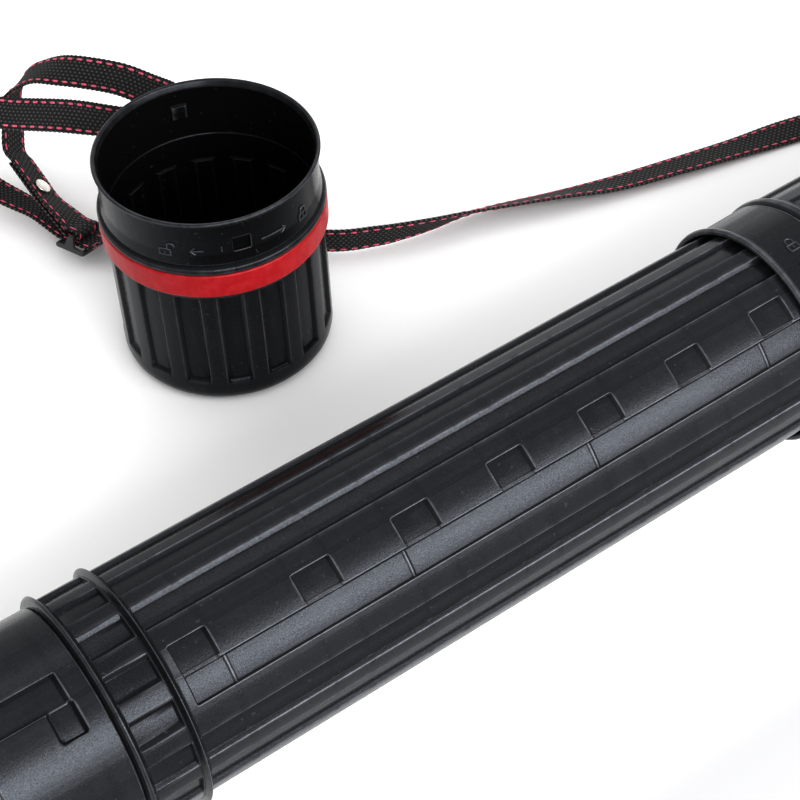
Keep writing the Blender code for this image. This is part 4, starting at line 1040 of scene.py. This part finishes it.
class Ribbon:
    """Stations along a strap at even spacing, with width and face directions."""

    def __init__(self, path, spacing):
        p = np.array([q for q, _ in path], float)
        w = np.array([unit(d) for _, d in path])
        keep = np.concatenate([[True], np.linalg.norm(np.diff(p, axis=0), axis=1) > 0.05])
        p, w = p[keep], w[keep]
        s = np.concatenate([[0.0], np.cumsum(np.linalg.norm(np.diff(p, axis=0), axis=1))])
        n = max(2, int(round(s[-1] / spacing)))
        self.s = np.linspace(0.0, s[-1], n + 1)
        self.p = np.stack([np.interp(self.s, s, p[:, c]) for c in range(3)], 1)
        w = np.stack([np.interp(self.s, s, w[:, c]) for c in range(3)], 1)
        for _ in range(2):
            self.p[1:-1] = self.p[1:-1] * 0.5 + (self.p[:-2] + self.p[2:]) * 0.25
            w[1:-1] = w[1:-1] * 0.5 + (w[:-2] + w[2:]) * 0.25
        t = np.gradient(self.p, axis=0)
        self.t = t / np.linalg.norm(t, axis=1)[:, None]
        w = w - self.t * (w * self.t).sum(1)[:, None]
        self.w = w / np.linalg.norm(w, axis=1)[:, None]
        self.n = np.cross(self.t, self.w)
        self.length = float(self.s[-1])

    def at(self, s, v, h):
        s = np.clip(s, 0, self.length)
        p = np.stack([np.interp(s, self.s, self.p[:, c]) for c in range(3)], -1)
        w = np.stack([np.interp(s, self.s, self.w[:, c]) for c in range(3)], -1)
        n = np.stack([np.interp(s, self.s, self.n[:, c]) for c in range(3)], -1)
        return p + w * np.asarray(v)[..., None] + n * np.asarray(h)[..., None]


PROFILE = [(8.0, 0.0), (7.9, 0.32), (7.6, 0.58), (7.1, 0.70), (6.2, 0.72), (4.2, 0.745), (2.1, 0.75), (0.0, 0.75), (-2.1, 0.75), (-4.2, 0.745), (-6.2, 0.72),
           (-7.1, 0.70), (-7.6, 0.58), (-7.9, 0.32), (-8.0, 0.0)]
PROFILE = PROFILE + [(v, -h) for v, h in reversed(PROFILE[1:-1])]


def strap(name, path, body, node, spacing=0.675, start=0.0):
    r = Ribbon(path, spacing)
    m, n = len(PROFILE), len(r.s)
    verts, along, across = [], [], []
    for i in range(n):
        scallop = 0.20 * math.sin(2 * math.pi * (r.s[i] + start) / 2.7)
        for v, h in PROFILE:
            edge = max(0.0, abs(v) - 6.2) / 1.8
            vv = v + math.copysign(scallop * edge - 0.2 * edge, v) if v else 0.0
            verts.append(r.p[i] + r.w[i] * vv + r.n[i] * h)
            along.append(r.s[i] + start)
            across.append(v)
    faces = [(i * m + k, i * m + (k + 1) % m, (i + 1) * m + (k + 1) % m, (i + 1) * m + k) for i in range(n - 1) for k in range(m)]
    half = m // 2
    for base, rev in ((0, False), ((n - 1) * m, True)):
        for k in range(half):
            q = (base + k, base + k + 1, base + (m - k - 1) % m, base + (m - k) % m)
            q = tuple(dict.fromkeys(q))
            if len(q) >= 3:
                faces.append(tuple(reversed(q)) if rev else q)
    verts = np.array(verts)
    # faces look outward
    c = verts[list(faces[n // 2 * m])].mean(0)
    f0 = faces[n // 2 * m]
    nn = np.cross(verts[f0[1]] - verts[f0[0]], verts[f0[2]] - verts[f0[0]])
    if np.dot(nn, c - r.p[n // 2]) < 0:
        faces = [tuple(reversed(f)) for f in faces]
    ob = make(name, verts, faces, WEBBING, body, {"along": along, "across": across}, instead=(node,))
    return ob, r


def stitches(name, r, body, margin=2.5, pitch=5.7, size=3.5, start=0.0):
    """Raised thread dashes near both edges, on both faces."""
    verts, faces, along, across = [], [], [], []
    us = np.linspace(-0.5, 0.5, 7)
    vs = np.linspace(-1.0, 1.0, 5)
    s = margin
    while s < r.length - margin:
        for edge in (-6.15, 6.15):
            for face in (-1.0, 1.0):
                first = len(verts)
                for u in us:
                    end = math.sqrt(max(0.0, 1.0 - (abs(u) * 2) ** 4))
                    for v in vs:
                        h = 0.62 + 0.50 * end * math.sqrt(max(0.0, 1.0 - v * v * 0.95))
                        q = r.at(s + u * size, edge + v * 0.57 * (0.55 + 0.45 * end), face * h)
                        verts.append(q)
                        along.append(s + u * size)
                        across.append(v * 0.5)
                for i in range(6):
                    for k in range(4):
                        q = (first + i * 5 + k, first + i * 5 + k + 1, first + (i + 1) * 5 + k + 1, first + (i + 1) * 5 + k)
                        faces.append(q if face < 0 else tuple(reversed(q)))
        s += pitch
    return make(name, np.array(verts), faces, THREAD, body, {"along": along, "across": across})


strap_main, ribbon = strap("strap_webbing_cloth", MAIN, "strap_set", "strap_webbing")
strap_stitch = stitches("strap_stitching", ribbon, "strap_set")
strap_tail, tail_ribbon = strap("strap_end_cloth", TAIL, None, "strap_slider_end")
tail_stitch = stitches("strap_end_stitching", tail_ribbon, None)
HOLD = tuple(world(END_TOP))
LET = tuple(world(rivet_at + e_dir * 0.5))
for piece in (strap_tail, tail_stitch):
    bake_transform(piece)

# ---------------------------------------------------------------- slider
def cheek(side):
    lo, hi = 9.85, 11.3
    prof = [(-8.5, -3.25), (8.5, -3.25), (8.5, -0.8), (2.8, -0.3), (1.6, 5.4), (-1.6, 5.4), (-2.8, -0.3), (-8.5, -0.8)]
    # round the outline's corners
    pts = []
    m = len(prof)
    for i in range(m):
        p0, p, p1 = (np.array(prof[j % m], float) for j in (i - 1, i, i + 1))
        u, v = unit(p0 - p), unit(p1 - p)
        for q in (0.0, 0.33, 0.67, 1.0):
            a, b = p + u * 1.0, p + v * 1.0
            pts.append((1 - q) ** 2 * a + 2 * q * (1 - q) * p + q * q * b)
    pts = np.array(pts)
    mid = pts.mean(0)
    rings = [(lo, 0.93), (lo + 0.3, 1.0), (hi - 0.45, 1.0), (hi - 0.12, 0.95), (hi, 0.88)]
    verts, faces = [], []
    n = len(pts)
    for b, k in rings:
        verts += [tuple(local(mid[0] + (a - mid[0]) * k, side * b, mid[1] + (c - mid[1]) * k)) for a, c in pts]
    for i in range(len(rings) - 1):
        for j in range(n):
            l = (j + 1) % n
            faces.append((i * n + j, i * n + l, (i + 1) * n + l, (i + 1) * n + j))
    for i, rev in ((0, True), (len(rings) - 1, False)):
        centre = len(verts)
        verts.append(tuple(local(mid[0], side * rings[i][0], mid[1])))
        for j in range(n):
            l = (j + 1) % n
            faces.append((i * n + l, i * n + j, centre) if rev else (i * n + j, i * n + l, centre))
    verts = np.array(verts)
    centre = verts.mean(0)
    f = faces[(n * 2)]
    nn = np.cross(verts[f[1]] - verts[f[0]], verts[f[2]] - verts[f[0]])
    if np.dot(nn, verts[list(f)].mean(0) - centre) < 0:
        faces = [tuple(reversed(q)) for q in faces]
    return verts, faces


parts = [cheek(-1.0), cheek(1.0)]
for a in (-7.35, 7.35):
    parts.append(soft_ends(local(a, -10.2, -2.15), local(a, 10.2, -2.15), E1, E3, round_rect(1.15, 1.08, 0.5), 0.2))
circle = [(1.1 * math.cos(math.radians(20 * i)), 1.1 * math.sin(math.radians(20 * i))) for i in range(18)]
parts.append(soft_ends(local(0, -10.2, 4.3), local(0, 10.2, 4.3), E1, E3, circle, 0.2))
verts, faces = joined(parts)
slider_piece = make("slider_frame", verts, faces, SLIDER, "slider", instead=("slider_buckle",))


# ---------------------------------------------------------------- rivets
def turned(name, node, body, centre, axis, profile, loop, n=40):
    ax = unit(axis)
    u = unit(np.cross(ax, (0.31, 0.77, 0.55)))
    v = np.cross(ax, u)

    def point(deg, r, h):
        t = math.radians(deg)
        return tuple(centre + ax * h + (u * math.cos(t) + v * math.sin(t)) * r)
    rws = rounded(profile)
    cols_ = [360.0 * i / n for i in range(n)]
    vv, ff = lathe_grid(rws, cols_, lambda a, r, t: np.full(n, r), point, loop)
    ff = [tuple(reversed(f)) for f in ff]
    return make(name, vv, ff, STEEL, body, instead=(node,))


def rivet(prefix, body, top, axis, layers):
    """Pressed cap with a rolled rim and post, and the back cap it is set into."""
    head = turned(prefix + "_cap", prefix + "_head", body, top, axis,
                  [(-layers - 1.2, 0.0, 0, "e"), (-layers - 1.2, 1.9, 0.2, "e"), (0.3, 1.9, 0.1, "e"), (0.3, 4.3, 0.15, "e"), (0.55, 4.5, 0.2, "e"), (1.0, 4.22, 0.3, "e"),
                   (1.15, 3.95, 0.2, "e"), (1.55, 3.2, 0.5, "e"), (1.88, 2.1, 0.6, "e"), (2.04, 0.9, 0.5, "e"), (2.05, 0.0, 0, "e")], False)
    low = top - axis * layers
    back = turned(prefix + "_backing", prefix + "_back", body, low, axis,
                  [(-1.5, 2.25, 0.1, "e"), (-1.5, 3.3, 0.3, "e"), (-0.95, 4.05, 0.3, "e"), (-0.35, 4.1, 0.15, "e"), (-0.3, 2.25, 0.1, "e"), (-0.9, 2.25, 0.0, "e")], True)
    return head, back


slider_rivet = rivet("slider_rivet", "slider", rivet_at + e_n * (WEB_T / 2), e_n, 2.1 + WEB_T)
base_rivet_top = b_post + b_down * 28.0 + b_out * (FOLD + WEB_T / 2)
base_rivet = rivet("base_rivet", "strap_set", base_rivet_top, b_out, 2 * FOLD + WEB_T)

# ---------------------------------------------------------------- the strap's centre line as points in metres
PATH = [tuple(q) for q in world(ribbon.p[::8])] + [tuple(world(ribbon.p[-1]))]
tuple(world(b_post + b_down * 20.0))
